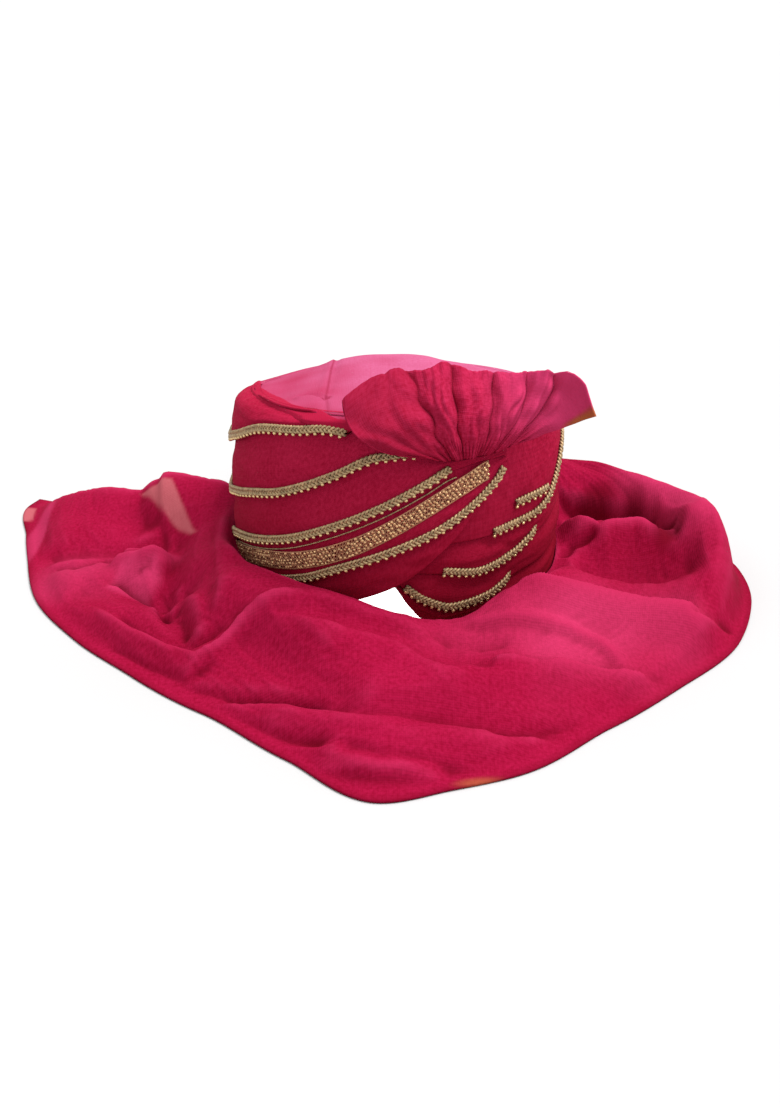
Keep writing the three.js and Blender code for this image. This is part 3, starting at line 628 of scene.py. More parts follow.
class Finish:
    """A material whose nodes are added by name, with its shader's constants set at once."""

    def __init__(self, name, **constants):
        self.material = bpy.data.materials.new(name)
        self.material.use_nodes = True
        self.tree = self.material.node_tree
        self.tree.nodes.clear()
        values = {key.replace("_", " ").title().replace("Ior", "IOR"): value
                  for key, value in constants.items()}
        self.shader = self.add("ShaderNodeBsdfPrincipled", {}, values)
        self.add("ShaderNodeOutputMaterial", {}, {"Surface": self.shader.outputs[0]})
        coordinates = self.add("ShaderNodeTexCoord")
        self.object = coordinates.outputs["Object"]
        self.uv = coordinates.outputs["UV"]

    def add(self, kind, settings=None, values=None):
        """Adds a node of a kind, with its settings first and then its sockets."""
        node = self.tree.nodes.new(kind)
        for key, value in (settings or {}).items():
            setattr(node, key, value)
        for key, value in (values or {}).items():
            self.feed(node.inputs[key], value)
        return node

    def feed(self, socket, value):
        if isinstance(value, Shade):
            self.tree.links.new(value.socket, socket)
        elif isinstance(value, bpy.types.NodeSocket):
            self.tree.links.new(value, socket)
        else:
            socket.default_value = value

    def noise(self, vector, scale, detail=2.0, stretch=(1, 1, 1)):
        """Cloudy variation of about 1/scale metres, longer where stretch is under 1."""
        mapping = self.add("ShaderNodeMapping", {}, {"Vector": vector, "Scale": stretch})
        node = self.add("ShaderNodeTexNoise", {}, {
            "Vector": mapping.outputs[0], "Scale": scale, "Detail": detail, "Roughness": 0.55,
        })
        return Shade(self, node.outputs[0])

    def bands(self, vector, scale, axis):
        """Parallel threads across the X or Y axis of a surface, 1/scale metres apart."""
        node = self.add("ShaderNodeTexWave", {"wave_type": "BANDS", "bands_direction": axis}, {
            "Vector": vector, "Scale": scale, "Distortion": 1.2, "Detail": 1.0,
        })
        return Shade(self, node.outputs[1])

    def position(self, axis):
        """Distance from the frame's origin along an axis, so that Z is the height."""
        node = self.add("ShaderNodeSeparateXYZ", {}, {"Vector": self.object})
        return Shade(self, node.outputs[axis])

    def line(self, start, end, width):
        """1 on the line between two places, from the axis, falling to 0 at its width."""
        step = Vector(end) - Vector(start)
        length = step.length
        step.normalize()
        x = self.position("X") - (AXIS.x + start[0])
        y = self.position("Y") - (AXIS.y + start[1])
        across = abs(x * step.y - y * step.x)
        along_it = x * step.x + y * step.y
        return (1 - across * (1 / width)).clamped() * (along_it > 0) * (length - along_it > 0)

    def painted(self, name):
        """A value that the mesh carries."""
        node = self.add("ShaderNodeAttribute", {"attribute_name": name})
        return Shade(self, node.outputs["Fac"])

    def blend(self, share, low, high):
        """A colour between two others."""
        colours = {0: share, 6: self.opaque(low), 7: self.opaque(high)}
        return self.add("ShaderNodeMix", {"data_type": "RGBA"}, colours).outputs[2]

    @staticmethod
    def opaque(colour):
        return colour if isinstance(colour, bpy.types.NodeSocket) else (*colour, 1.0)

    def colour(self, value):
        self.feed(self.shader.inputs["Base Color"], self.opaque(value))

    def roughness(self, value):
        self.feed(self.shader.inputs["Roughness"], value)

    def relief(self, height, strength, distance):
        values = {"Height": height, "Strength": strength, "Distance": distance}
        bump = self.add("ShaderNodeBump", {}, values)
        self.feed(self.shader.inputs["Normal"], bump.outputs[0])


# Scales of the voile's patterns, per metre, and how far a slub is drawn out along its thread
CLOUD_SCALE = 22
GRAIN_SCALE = 430
SLUB_SCALE = 620
SLUB_STRETCH = 0.06
WEAVE_SCALE = 260
WEAVE_DEPTH = 0.0004


def voile(name, light, deep, painted=None, dark=None, dark_below=0.0, seam_shade_lines=(), seam_shade_colour=None):
    """Cotton voile: cloudy dye, slubs along both threads, a fine weave and no shine.

    painted names values that the mesh carries, each with the colour that it brings.
    Painted shade turns the cloth towards dark from the height dark_below down to the floor.
    Seam lines are painted shade in a groove, nub or fold, each with its start and end from the
    axis, its width and strength.
    """
    finish = Finish(name, specular_ior_level=0.03)
    cloud = finish.noise(finish.object, CLOUD_SCALE, 3)
    grain = finish.noise(finish.uv, GRAIN_SCALE, 2)
    warp = finish.noise(finish.uv, SLUB_SCALE, 1, stretch=(SLUB_STRETCH, 1, 1))
    weft = finish.noise(finish.uv, SLUB_SCALE, 1, stretch=(1, SLUB_STRETCH, 1))
    dye = (cloud + grain * 2.2 + (warp + weft) * 0.5 - 1.6).clamped()
    base = finish.blend(dye, deep, light)
    # Painted shade, darker towards the floor
    if dark:
        depth = (1 - finish.position("Z") * (1 / dark_below)).clamped()
        base = finish.blend(depth * 0.9, base, dark)
    for attribute, colour in (painted or {}).items():
        share = (finish.painted(attribute) * (0.75 + grain * 0.5)).clamped()
        base = finish.blend(share, base, colour)
    # Painted shade in seam grooves, a nub and a fold
    for start, end, width, strength in seam_shade_lines:
        base = finish.blend(finish.line(start, end, width) * strength, base, seam_shade_colour)
    finish.colour(base)
    finish.roughness(0.8 + grain * 0.2)
    threads = finish.bands(finish.uv, WEAVE_SCALE, "X") + finish.bands(finish.uv, WEAVE_SCALE, "Y")
    finish.relief(threads * 0.25 + warp * 0.5 + weft * 0.5 + grain, 0.55, WEAVE_DEPTH)
    return finish.material


def gilt(name, colour, dark, metallic, roughness, scale):
    """Worn gold thread: bright wire with tarnish between its turns."""
    finish = Finish(name, metallic=metallic, specular_ior_level=0.5)
    wear = finish.noise(finish.object, scale, 3)
    fine = finish.noise(finish.object, scale * 6, 1)
    finish.colour(finish.blend((wear * 1.6 + fine - 0.85).clamped(), dark, colour))
    finish.roughness(roughness + fine * 0.25)
    finish.relief(fine + wear * 0.5, 0.5, 0.0003)
    return finish.material


def turban_settings():
    """The body's surface, the sizes and the colours that the sidebar holds."""
    scene = bpy.context.scene
    return Body(scene.turban_sizes), scene.turban_sizes, scene.turban_colours


class TURBAN_OT_stage(Operator):
    """Lays the pale floor and sets the soft lights and the camera"""

    bl_idname = "turban.stage"
    bl_label = "Stage"

    floor_half = 20.0
    camera_offset = Vector((-0.00439, -0.92145, 0.45113))
    camera_pitch = 64.403
    camera_lens = 44.415
    sun_strength = 4.5
    sun_softness = 40.0
    sun_from = Vector((0.36, 0.04, 0.93))
    lamp_offset = Vector((0, -0.03, 0.075))
    lamp_size = 0.11
    lamp_power = 0.45
    paper_grey = (0.43, 0.43, 0.43)
    paper_light = (0.45, 0.45, 0.45)

    def execute(self, context):
        scene = context.scene
        scene.view_settings.view_transform = "Standard"
        bm = bmesh.new()
        bmesh.ops.create_grid(bm, x_segments=1, y_segments=1, size=self.floor_half)
        floor = finish_mesh(bm, "floor", [self.paper()], outwards=False)
        self.world(scene)
        light = bpy.data.lights.new("soft_sun", "SUN")
        light.energy = self.sun_strength
        light.angle = math.radians(self.sun_softness)
        sun = self.placed(scene, light)
        sun.rotation_euler = self.sun_from.to_track_quat("Z", "Y").to_euler()
        light = bpy.data.lights.new("hollow_lamp", "AREA")
        light.size = self.lamp_size
        light.energy = self.lamp_power
        self.placed(scene, light).location = AXIS + self.lamp_offset
        view = bpy.data.cameras.new("camera")
        view.lens = self.camera_lens
        camera = self.placed(scene, view)
        camera.location = AXIS + self.camera_offset
        camera.rotation_euler = (math.radians(self.camera_pitch), 0, 0)
        scene.camera = camera
        return {"FINISHED"}

    @staticmethod
    def placed(scene, data):
        """A light or camera as an object of the scene."""
        thing = bpy.data.objects.new(data.name, data)
        scene.collection.objects.link(thing)
        return thing

    def paper(self):
        finish = Finish("pale_floor", roughness=0.9, specular_ior_level=0.2)
        cloud = finish.noise(finish.object, 3, 2)
        finish.colour(finish.blend(cloud, self.paper_grey, self.paper_light))
        return finish.material

    @staticmethod
    def world(scene):
        world = bpy.data.worlds.new("studio")
        world.use_nodes = True
        background = world.node_tree.nodes["Background"]
        background.inputs["Color"].default_value = (1.0, 1.0, 1.0, 1.0)
        background.inputs["Strength"].default_value = 1.0
        scene.world = world


class TURBAN_OT_windings(Operator):
    """Winds the five bands of cloth round the body"""

    bl_idname = "turban.windings"
    bl_label = "Windings"

    turn_step = 0.65
    face_rows = 15
    shoulder_rows = 9
    hem_run = (HEM_EDGE["turn"][0], HEM_EDGE["turn"][-1])
    least_face = 0.001
    lip_spare = 0.0006
    # The most of a winding's height that its lip takes, and that the round of the rim takes
    lip_share = 0.6
    lip_share_at_rim = 0.9
    round_share = 0.8
    rim_blend = 8
    # Waves of the cloth: their height, their length round the body and up it, and their seed
    waves = ((0.00035, 0.09, 0.012, 0), (0.00016, 0.035, 0.006, 10))
    rim_wave = 0.0004
    # Upright gathers of the first winding, drawn in under the fan's right end
    gather_pitch = 3.0
    gather_lean = 60
    gather_depth = 0.0007
    gather_lift = 0.0003
    # Soft creases of the windings, by their number. The routes are over (turn, height).
    creases = {
        1: (fold(-0.0012, 0.004, 0.003, (-56, 0.100), (-48, 0.092), (-38, 0.090)),
            fold(0.0009, 0.003, 0.005, (-50, 0.088), (-44, 0.098), (-36, 0.106))),
        2: (fold(-0.0014, 0.003, 0.0025, (-60, 0.068), (-53, 0.065), (-46, 0.060)),
            fold(0.0009, 0.006, 0.003, (-70, 0.060), (-55, 0.058), (-40, 0.067)),
            fold(-0.0005, 0.006, 0.006, (205, 0.090), (225, 0.102), (242, 0.112))),
        3: (fold(-0.0012, 0.005, 0.003, (-72, 0.040), (-60, 0.038), (-46, 0.046)),
            fold(0.0008, 0.003, 0.003, (-66, 0.033), (-56, 0.032), (-46, 0.040)),
            fold(-0.0005, 0.005, 0.005, (205, 0.052), (228, 0.066), (248, 0.086))),
    }

    def execute(self, context):
        body, sizes, colours = turban_settings()
        # Painted shade darkens the windings from 0.11 m down to the floor
        cloth = voile("winding_voile", colours.crimson, colours.crimson_deep,
                      dark=colours.crimson_shade, dark_below=0.11)
        rows = (
            (1, FIRST_EDGE, None, START_TURN, FIRST_END_TURN),
            (2, SECOND_EDGE, FIRST_EDGE, START_TURN, PANEL_END_TURN),
            (3, THIRD_EDGE, SECOND_EDGE, START_TURN, PANEL_END_TURN),
            (4, FOURTH_EDGE, THIRD_EDGE, START_TURN, PANEL_END_TURN),
            (5, HEM_EDGE, FOURTH_EDGE, *self.hem_run),
        )
        for number, lower, upper, start, end in rows:
            turns = np.linspace(start, end, round((end - start) / self.turn_step) + 1)
            points = self.section(body, turns, lower, upper, number)
            bm = bmesh.new()
            add_grid(bm, points, closed=True)
            cap_ends(bm)
            piece = finish_mesh(bm, f"band_{number}", [cloth])
            seat(piece, f"winding_{number}")
        return {"FINISHED"}

    def section(self, body, turns, lower, upper, number):
        """Rows of points round the section of one winding, closed through its inner wall."""
        panel = ramp(turns, PANEL_IN_TURN, PANEL_OUT_TURN)
        depth = body.lap_depth(turns)
        low = body.edge(lower, turns)
        is_top = upper is None
        if is_top:
            top = body.rim(turns)
        else:
            upper_edge = self.upper_edge(body, upper, turns)
            top = np.maximum(upper_edge - LAY_GAP, low + self.least_face)
        share = self.lip_share_at_rim if is_top else self.lip_share
        lip = low + np.minimum(body.braid_width + self.lip_spare, (top - low) * share)
        rounding = np.minimum(RIM_ROUND, (top - lip) * self.round_share) if is_top else 0

        def inner(height):
            wall = body.ring(turns, WINDING_THICKNESS, height)
            shell = body.point(turns, height, -PANEL_THICKNESS + PIECE_GAP)
            return mix(wall, shell, panel[:, None])

        def rise(height):
            room = body.rim_face(turns, WINDING_THICKNESS) - THIN_RIM - height
            return np.minimum(mix(SEAM_RISE, LAY_GAP, panel), mix(room, LAY_GAP, panel))

        hem = lower is HEM_EDGE
        rows = [inner(low + (0 if hem else rise(low)))]
        for angle in np.radians((-90, -60, -30)):
            rows.append(body.point(turns, low + EDGE_ROUND * (1 + math.sin(angle)),
                                   depth + LAP_OUT - EDGE_ROUND * (1 - math.cos(angle))))
        face_top = top - rounding
        for step in np.linspace(0, 1, self.face_rows):
            height = mix(low + EDGE_ROUND, face_top, step)
            face = self.face(body, turns, height, lip, top, step, is_top, number)
            rows.append(body.point(turns, height, depth + face))
        if is_top:
            for step in np.linspace(0, 1, self.shoulder_rows)[1:]:
                full = self.rim_row(body, turns, step, rounding, depth)
                rows.append(mix(full, inner(top), (panel * step)[:, None]))
            rows.append(inner(top - mix(RIM_DIP, self.least_face, panel)))
        else:
            rows.append(inner(top + rise(top + LAY_GAP)))
        return np.array([*rows, rows[0]])

    def upper_edge(self, body, upper, turns):
        """The second winding reaches the rim where the first has run out."""
        edge = body.edge(upper, turns)
        if upper is not FIRST_EDGE:
            return edge
        past_end = ramp(turns, FIRST_END_TURN, FIRST_END_TURN + self.rim_blend)
        return mix(edge, body.rim(turns) - self.least_face, past_end)

    def rim_row(self, body, turns, step, rounding, depth):
        """One row of the rounded rim, which is lower where the face is short."""
        angle = step * np.pi / 2
        inset = (RIM_CREST + LAP_OUT / 2) * (1 - math.cos(angle)) - LAP_OUT / 2
        height = body.rim(turns) - rounding * (1 - math.sin(angle))
        lie = depth * math.cos(angle)
        ripple = self.rim_wave * ripples(turns / 9, step * 1.5, 21) * math.sin(np.pi * step)
        return body.point(turns, height + ripple * math.sin(angle), lie - inset)

    def face(self, body, turns, height, lip, top, step, is_top, number):
        """How far the cloth stands out over the lip, the belly and the tucked top edge."""
        share = np.clip((height - lip) / np.maximum(top - lip, 1e-4), 0, 1)
        belly = LAP_OUT + BULGE_OUT * np.sin(2 * np.pi * share)
        if is_top:
            out = mix(belly, LAP_OUT / 2, smooth(share * 1.4 - 0.2))
        else:
            out = mix(belly, -PIECE_GAP, ramp(share, 0.5, 1))
        per_degree = np.pi / 180 * body.width / 2
        for row in self.creases.get(number, ()):
            route = np.multiply(row["route"], (per_degree, 1))
            out = out + crease(turns * per_degree, height, row, route)
        wave = sum(size * ripples(turns * per_degree / length, height / rise, number + seed)
                   for size, length, rise, seed in self.waves)
        fade = math.sin(np.pi * min(1, step * 0.9 + 0.1))
        return out + wave * fade + self.gathers(body, turns, height, number)

    def gathers(self, body, turns, height, number):
        """How far the gathers stand out of the first winding."""
        if number != 1:
            return 0
        share = height / body.height
        window = ramp(turns, -50, -42) * ramp(turns, -16, -24) * ramp(share, 0.66, 0.82)
        slant = turns + self.gather_lean * (share - 0.9)
        gather = np.cos(slant / self.gather_pitch * 2 * np.pi + ripples(turns / 7, 0, 5))
        return window * (self.gather_depth * gather + self.gather_lift)


class TURBAN_OT_braids(Operator):
    """Plaits the gold braids with their beads and lays them on the windings' lips"""

    bl_idname = "turban.braids"
    bl_label = "Gold braids"

    plait_pitch = 0.0088
    strands = 3
    strand_sides = 6
    steps_per_plait = 10
    walk_steps = 2000
    # How high a strand rides, and how much it rises and falls, in shares of its radius
    strand_rest = 1.05
    strand_rise = 0.75
    # How far a bead's middle lies below the braid and out from its back, in the same way
    bead_below = 0.35
    bead_out = 0.9
    runs = (
        {"name": "braid_1", "edge": FIRST_EDGE, "stretches": ((-55, 254),)},
        {"name": "braid_2", "edge": SECOND_EDGE, "stretches": ((-74, -33), (6, 276))},
        {"name": "braid_3", "edge": THIRD_EDGE, "stretches": ((-87, -44), (8, 287))},
        {"name": "braid_4", "edge": FOURTH_EDGE, "stretches": ((180, 306),)},
        {"name": "braid_branch", "edge": None, "stretches": ((-45, -30),)},
    )
    dive_turn = 5
    dive_depth = 0.0035
    cord_run = {"turns": (196, 289), "below": 0.0048, "radius": 0.00045}
    cord_steps = 460
    cord_twist = 1.7

    def execute(self, context):
        body, sizes, colours = turban_settings()
        zari = gilt("zari_thread", colours.zari, darker(colours.zari, 0.28),
                    metallic=0.55, roughness=0.38, scale=330)
        bead = gilt("gold_bead", colours.bead, darker(colours.bead, 0.6),
                    metallic=0.9, roughness=0.16, scale=200)
        for run in self.runs:
            bm = bmesh.new()
            for stretch in run["stretches"]:
                self.plait(bm, body, sizes, run, stretch)
                self.bead_row(bm, body, sizes, run, stretch)
            if run["edge"] is THIRD_EDGE:
                self.thin_cord(bm, body)
            piece = finish_mesh(bm, f"zari_{run['name']}", [zari, bead])
            seat(piece, run["name"])
        return {"FINISHED"}

    @staticmethod
    def middle(body, run, turns):
        """Height of a braid's middle."""
        if run["edge"] is None:
            return body.edge(BRANCH_MIDDLE, turns)
        return body.on_lip(run["edge"], turns)

    def walk(self, body, run, stretch, step):
        """Turns along a stretch, one step apart, and their distance from its start."""
        turns = np.linspace(*stretch, self.walk_steps)
        distance = distances(body.point(turns, self.middle(body, run, turns)))
        at = np.arange(0, distance[-1], step)
        return np.interp(at, distance, turns), at

    def lie(self, body, run, turns):
        """How far out the back of a braid lies, which dives where cloth covers it."""
        lift = 0 if run["edge"] is not None else BULGE_OUT
        dive = 0
        for before, after in zip(run["stretches"], run["stretches"][1:]):
            near = np.minimum(np.abs(turns - before[1]), np.abs(turns - after[0]))
            dive = dive + self.dive_depth * (1 - smooth(near / self.dive_turn))
        return body.trim_back(turns) + lift - dive

    def plait(self, bm, body, sizes, run, stretch):
        """Strands that swing from side to side and pass over each other."""
        turns, distance = self.walk(body, run, stretch, self.plait_pitch / self.steps_per_plait)
        radius = sizes.strand_radius
        swing = sizes.braid_width / 2 - radius
        middle = self.middle(body, run, turns)
        back = self.lie(body, run, turns)
        slope = np.gradient(middle, distance)
        along_run = np.degrees(1 / (body.width / 2))
        for k in range(self.strands):
            phase = 2 * np.pi * (distance / self.plait_pitch + k / self.strands)
            aside = swing * np.sin(phase)
            lift = radius * (self.strand_rest + self.strand_rise * np.sin(2 * phase))
            shifted = turns - aside * slope * along_run
            path = body.point(shifted, middle + aside * (1 - 0.5 * slope**2), back + lift)
            add_grid(bm, tube_points(path, body.outward(turns), radius, self.strand_sides),
                     closed=True)
        cap_ends(bm)

    def bead_row(self, bm, body, sizes, run, stretch):
        """Beads in a row under the braid."""
        turns, _ = self.walk(body, run, stretch, sizes.bead_spacing)
        edge = self.middle(body, run, turns) - sizes.braid_width / 2
        low = edge - sizes.bead_radius * self.bead_below
        out = self.lie(body, run, turns) + sizes.bead_radius * self.bead_out
        faces_before = len(bm.faces)
        for place in body.point(turns, low, out):
            bmesh.ops.create_icosphere(bm, subdivisions=2, radius=sizes.bead_radius,
                                       matrix=Matrix.Translation(place))
        bm.faces.ensure_lookup_table()
        for face in bm.faces[faces_before:]:
            face.smooth = True
            face.material_index = 1

    def thin_cord(self, bm, body):
        """A fine twisted cord that follows the third braid a little below it."""
        run = self.cord_run
        turns = np.linspace(*run["turns"], self.cord_steps)
        height = body.edge(THIRD_EDGE, turns) - run["below"]
        path = body.point(turns, height, LAP_OUT * 0.55 + run["radius"])
        twist = np.sin(np.arange(len(turns)) * self.cord_twist)
        radius = run["radius"] * (1 + 0.25 * twist)[:, None]
        add_grid(bm, tube_points(path, body.outward(turns), radius, 6), closed=True)
        cap_ends(bm)


class TURBAN_OT_lace(Operator):
    """Nets the copper lace with its sequins over the front of the fourth winding"""

    bl_idname = "turban.lace"
    bl_label = "Sequin lace"

    run = (195, 300)
    wires = 5
    wire_radius = 0.0004
    mesh_pitch = 0.0044
    sequin_radius = 0.00115
    sequin_pitch = 0.0029
    sequin_rows = 5
    sequin_stray = 0.0003
    sequin_tip = 0.35
    # A sequin's inner rim and its height, in shares of its radius
    sequin_inner = 0.45
    sequin_height = 0.5
    # Share of sequins that are lost, at the left end, where more are left out so that it looks
    # darker, standing in for shade, and in the front
    missing_low = 0.45
    missing_high = 0.12

    def execute(self, context):
        body, sizes, colours = turban_settings()
        thread = gilt("copper_thread", colours.copper, darker(colours.copper, 0.3),
                      metallic=0.6, roughness=0.4, scale=400)
        sequin = gilt("copper_sequin", colours.bead, darker(colours.copper, 0.7),
                      metallic=0.85, roughness=0.18, scale=350)
        bm = bmesh.new()
        turns = np.linspace(*self.run, 900)
        middle = body.edge(LACE_MIDDLE, turns)
        distance = distances(body.point(turns, middle))
        self.net(bm, body, sizes, turns, middle, distance)
        self.sequins(bm, body, sizes, distance, turns)
        piece = finish_mesh(bm, "sequin_lace", [thread, sequin])
        seat(piece, "lace_band")
        return {"FINISHED"}

    def net(self, bm, body, sizes, turns, middle, distance):
        """Wires that swing from side to side and cross, between two straight edges."""
        outward = body.outward(turns)
        half = sizes.lace_width / 2
        for k in range(self.wires):
            rest = mix(-half, half, (k + 0.5) / self.wires)
            for swing in (-1, 1):
                round_mesh = 2 * np.pi * distance / self.mesh_pitch
                aside = rest + swing * half / self.wires * 1.1 * np.sin(round_mesh + k * np.pi)
                lift = self.wire_radius * (1.2 + swing * 0.5 * np.cos(round_mesh))
                path = body.point(turns, middle + aside, self.back(body, turns) + lift)
                points = tube_points(path, outward, self.wire_radius, 4)
                add_grid(bm, points, closed=True)
        for aside in (-half, half):
            path = body.point(turns, middle + aside, self.back(body, turns) + self.wire_radius)
            add_grid(bm, tube_points(path, outward, self.wire_radius * 1.3, 5), closed=True)
        cap_ends(bm)

    @staticmethod
    def back(body, turns):
        return body.trim_back(turns) + BULGE_OUT

    def sequins(self, bm, body, sizes, distance, turns):
        """Cupped sequins in staggered rows, each tipped a little its own way."""
        rng = np.random.default_rng(8)
        faces_before = len(bm.faces)
        for row in range(self.sequin_rows):
            aside = sizes.lace_width * ((row + 0.5) / self.sequin_rows - 0.5)
            at = np.arange(0, distance[-1], self.sequin_pitch) + (row % 2) * self.sequin_pitch / 2
            at = at + rng.normal(0, self.sequin_stray, len(at))
            for turn in np.interp(at, distance, turns):
                missing = mix(self.missing_low, self.missing_high, ramp(turn, 200, 260))
                if rng.random() < missing:
                    continue
                height = body.edge(LACE_MIDDLE, turn) + aside + rng.normal(0, self.sequin_stray)
                out = self.back(body, turn) + self.wire_radius * 2.2
                place = Vector(body.point(turn, height, out))
                stray = Vector(rng.uniform(-self.sequin_tip, self.sequin_tip, 3))
                facing = (Vector(body.outward(turn)) + stray).to_track_quat("Z", "Y")
                bmesh.ops.create_cone(bm, cap_ends=True, segments=7, radius1=self.sequin_radius,
                                      radius2=self.sequin_radius * self.sequin_inner,
                                      depth=self.sequin_radius * self.sequin_height,
                                      matrix=Matrix.LocRotScale(place, facing, None))
        bm.faces.ensure_lookup_table()
        for face in bm.faces[faces_before:]:
            face.material_index = 1


class TURBAN_OT_crown(Operator):
    """Stretches the faded cloth over the crown, with its seam, its nub and its tuck"""

    bl_idname = "turban.crown"
    bl_label = "Crown"

    columns = 300
    dome_rows = 46
    drape_rows = 16
    face_rows = 5
    cloth_thickness = 0.0011
    cloth_gap = 0.0003
    lip_drop = 0.0007
    least_drape = 0.0008
    least_drop = 0.0002
    # The cloth's end is tucked down behind the rim, or in towards the face where it hangs over
    hem_tuck = 0.0021
    face_tuck = 0.0010
    hangs_over = 0.002
    # Row of the dome from which the cloth is pulled straight to the rim's crest
    taut_row = 27
    ripple_height = 0.0005
    # Half widths and depths of the ovals inside which the creases show and outside which it darkens
    crease_oval = (0.098, 0.112)
    shade_oval = (0.116, 0.13)
    # How much lower than a round dome the crown lies, from its left to its right side
    sink = {
        "x": (-0.11, -0.08, -0.047, 0, 0.021, 0.04, 0.07, 0.11),
        "drop": (0.006, 0.0055, 0.0025, 0.002, 0.002, 0.0055, 0.008, 0.008),
    }
    # How far inside the body's face the first winding laps over the crown at the front left
    lap = {
        "turn": (0, 150, 165, 172, 190, 205, 215, 225, 235, 243, 251, 262, 275, 360),
        "inset": (-0.01, 0.0, 0.010, 0.014, 0.022, 0.029, 0.028, 0.023, 0.0165, 0.010, 0.003,
                  0.002, -0.01, -0.01),
    }
    lap_step = 0.0011
    lap_edge = 0.0012
    lap_fade = 0.012
    # How far inside the body's face the cloth ends, and how far the rim under it is rounded
    hem = {
        "turn": (0, 60, 120, 170, 200, 214, 228, 240, 250, 264, 290, 312, 335, 360),
        "inset": (0.010, 0.008, 0.006, 0.008, 0.010, 0.009, 0.0055, -0.0005, -0.001, -0.001,
                  0.006, 0.010, 0.012, 0.010),
        "drop": (0, 0, 0, 0, 0, 0, 0.0005, 0.0025, 0.0045, 0.0045, 0.001, 0, 0, 0),
        "rounding": (0.009, 0.009, 0.009, 0.009, 0.009, 0.0076, 0.0052, 0.0031, 0.0026, 0.0026,
                     0.0026, 0.004, 0.009, 0.009),
    }
    # Painted shade along the crown's seam, in the knot of its nub and in the fold below it: the
    # ends of each, in metres right of and behind the axis, its width and its strength
    seam_shade_lines = (
        ((-0.0475, -0.049), (-0.0455, 0.100), 0.0013, 0.75),
        ((-0.0495, -0.056), (-0.0450, -0.046), 0.0026, 0.8),
        ((-0.0430, -0.110), (-0.0465, -0.052), 0.0018, 0.45),
    )
    # Creases on the crown, whose routes are measured in the same way
    lines = (
        fold(-0.0014, 0.0016, 0.0016, (-0.044, 0.088), (-0.044, 0.039), (-0.045, -0.003),
             (-0.046, -0.027), (-0.047, -0.049)),
        fold(0.0012, 0.0016, 0.0035, (-0.047, 0.088), (-0.047, 0.039), (-0.048, -0.003),
             (-0.049, -0.027), (-0.050, -0.049)),
        fold(-0.0022, 0.0016, 0.0016, (-0.0465, -0.047), (-0.0465, -0.053)),
        fold(-0.0012, 0.002, 0.004, (-0.047, -0.051), (-0.046, -0.079), (-0.043, -0.108)),
        fold(-0.0022, 0.0015, 0.005, (-0.069, -0.046), (-0.060, -0.042), (-0.053, -0.045),
             (-0.047, -0.052)),
        fold(0.0016, 0.002, 0.008, (-0.070, -0.050), (-0.060, -0.047), (-0.054, -0.050),
             (-0.048, -0.056)),
        fold(-0.0009, 0.0015, 0.003, (-0.036, 0.016), (-0.029, 0.020), (-0.011, 0.027),
             (0.007, 0.027), (0.019, 0.015)),
        fold(-0.0016, 0.006, 0.010, (-0.020, -0.030), (0.002, -0.046), (0.020, -0.070)),
        fold(-0.0014, 0.006, 0.010, (-0.085, -0.020), (-0.070, -0.062), (-0.052, -0.092)),
    )

    def execute(self, context):
        body, sizes, colours = turban_settings()
        cloth = voile("crown_voile", colours.pink, mixed(colours.pink, colours.rose, 0.3),
                      {"shaded": mixed(colours.rose, colours.pink, 0.12),
                       "lapped": mixed(colours.crimson, colours.crimson_deep, 0.5)},
                      seam_shade_lines=self.seam_shade_lines, seam_shade_colour=mixed(colours.rose_deep, colours.pink, 0.15))
        turns = np.linspace(0, 360, self.columns + 1)
        points, painted = self.surface(body, turns)
        painted = {name: values.T for name, values in painted.items()}
        bm = bmesh.new()
        add_grid(bm, points.transpose(1, 0, 2), closed=True, planar=True, painted=painted)
        bmesh.ops.remove_doubles(bm, verts=bm.verts, dist=SAME_PLACE)
        piece = finish_mesh(bm, "crown_cloth", [cloth])
        thicken(piece, self.cloth_thickness, -1)
        seat(piece, "crown")
        return {"FINISHED"}

    def surface(self, body, turns):
        """Rows of points from the crown's middle out over the rim, and the colours on them."""
        forward = ramp(turns, 190, 240) * ramp(turns, 350, 300)
        lip = mix(CAP_BACK_INSET, CAP_FRONT_INSET, forward)
        dome, dome_insets = self.dome(body, turns, lip)
        drape, drape_insets = self.drape(body, turns, lip)
        points = self.taut(np.array(dome + drape))
        lapped = along(self.lap, "turn", "inset", turns) - np.array(dome_insets + drape_insets)
        x, y = from_axis(points)
        lift = sum(crease(x, y, line, line["route"]) for line in self.lines)
        lift = lift + self.ripple_height * ripples(x / 0.05, y / 0.07, 31)
        lift = lift * ramp(self.oval(x, y, self.crease_oval), 1.05, 0.9)
        step = self.lap_step * ramp(lapped, 0, self.lap_edge) * ramp(lapped, self.lap_fade, 0)
        points[..., 2] += lift + step
        # Darker to the front left and at the edge, in soft clouds
        shaded = 0.75 * ramp(x + 0.35 * y, 0.035, -0.105)
        shaded = shaded + 0.3 * ramp(self.oval(x, y, self.shade_oval), 0.8, 1)
        shaded = np.clip(shaded + 0.12 * ripples(x / 0.04, y / 0.04, 32), 0, 1)
        return points, {"shaded": shaded, "lapped": smooth(lapped / self.lap_edge + 0.3)}

    def dome(self, body, turns, lip):
        """Rows from the middle out to the lip, and how far inside the body's face each lies."""
        lip_top = self.over_rim(body, turns, lip) + CAP_GAP + self.lip_drop
        rows = []
        insets = []
        for share in np.sin(np.linspace(0, 1, self.dome_rows) * np.pi / 2):
            row = body.ring(turns, lip, 0) - AXIS
            row[:, :2] *= share
            sink = along(self.sink, "x", "drop", row[:, 0]) * (1 - share**4)
            row[:, 2] = mix(body.height + CAP_RISE, lip_top, share**3) - sink
            rows.append(row + AXIS)
            insets.append(mix(body.radius(turns), lip, share))
        return rows, insets

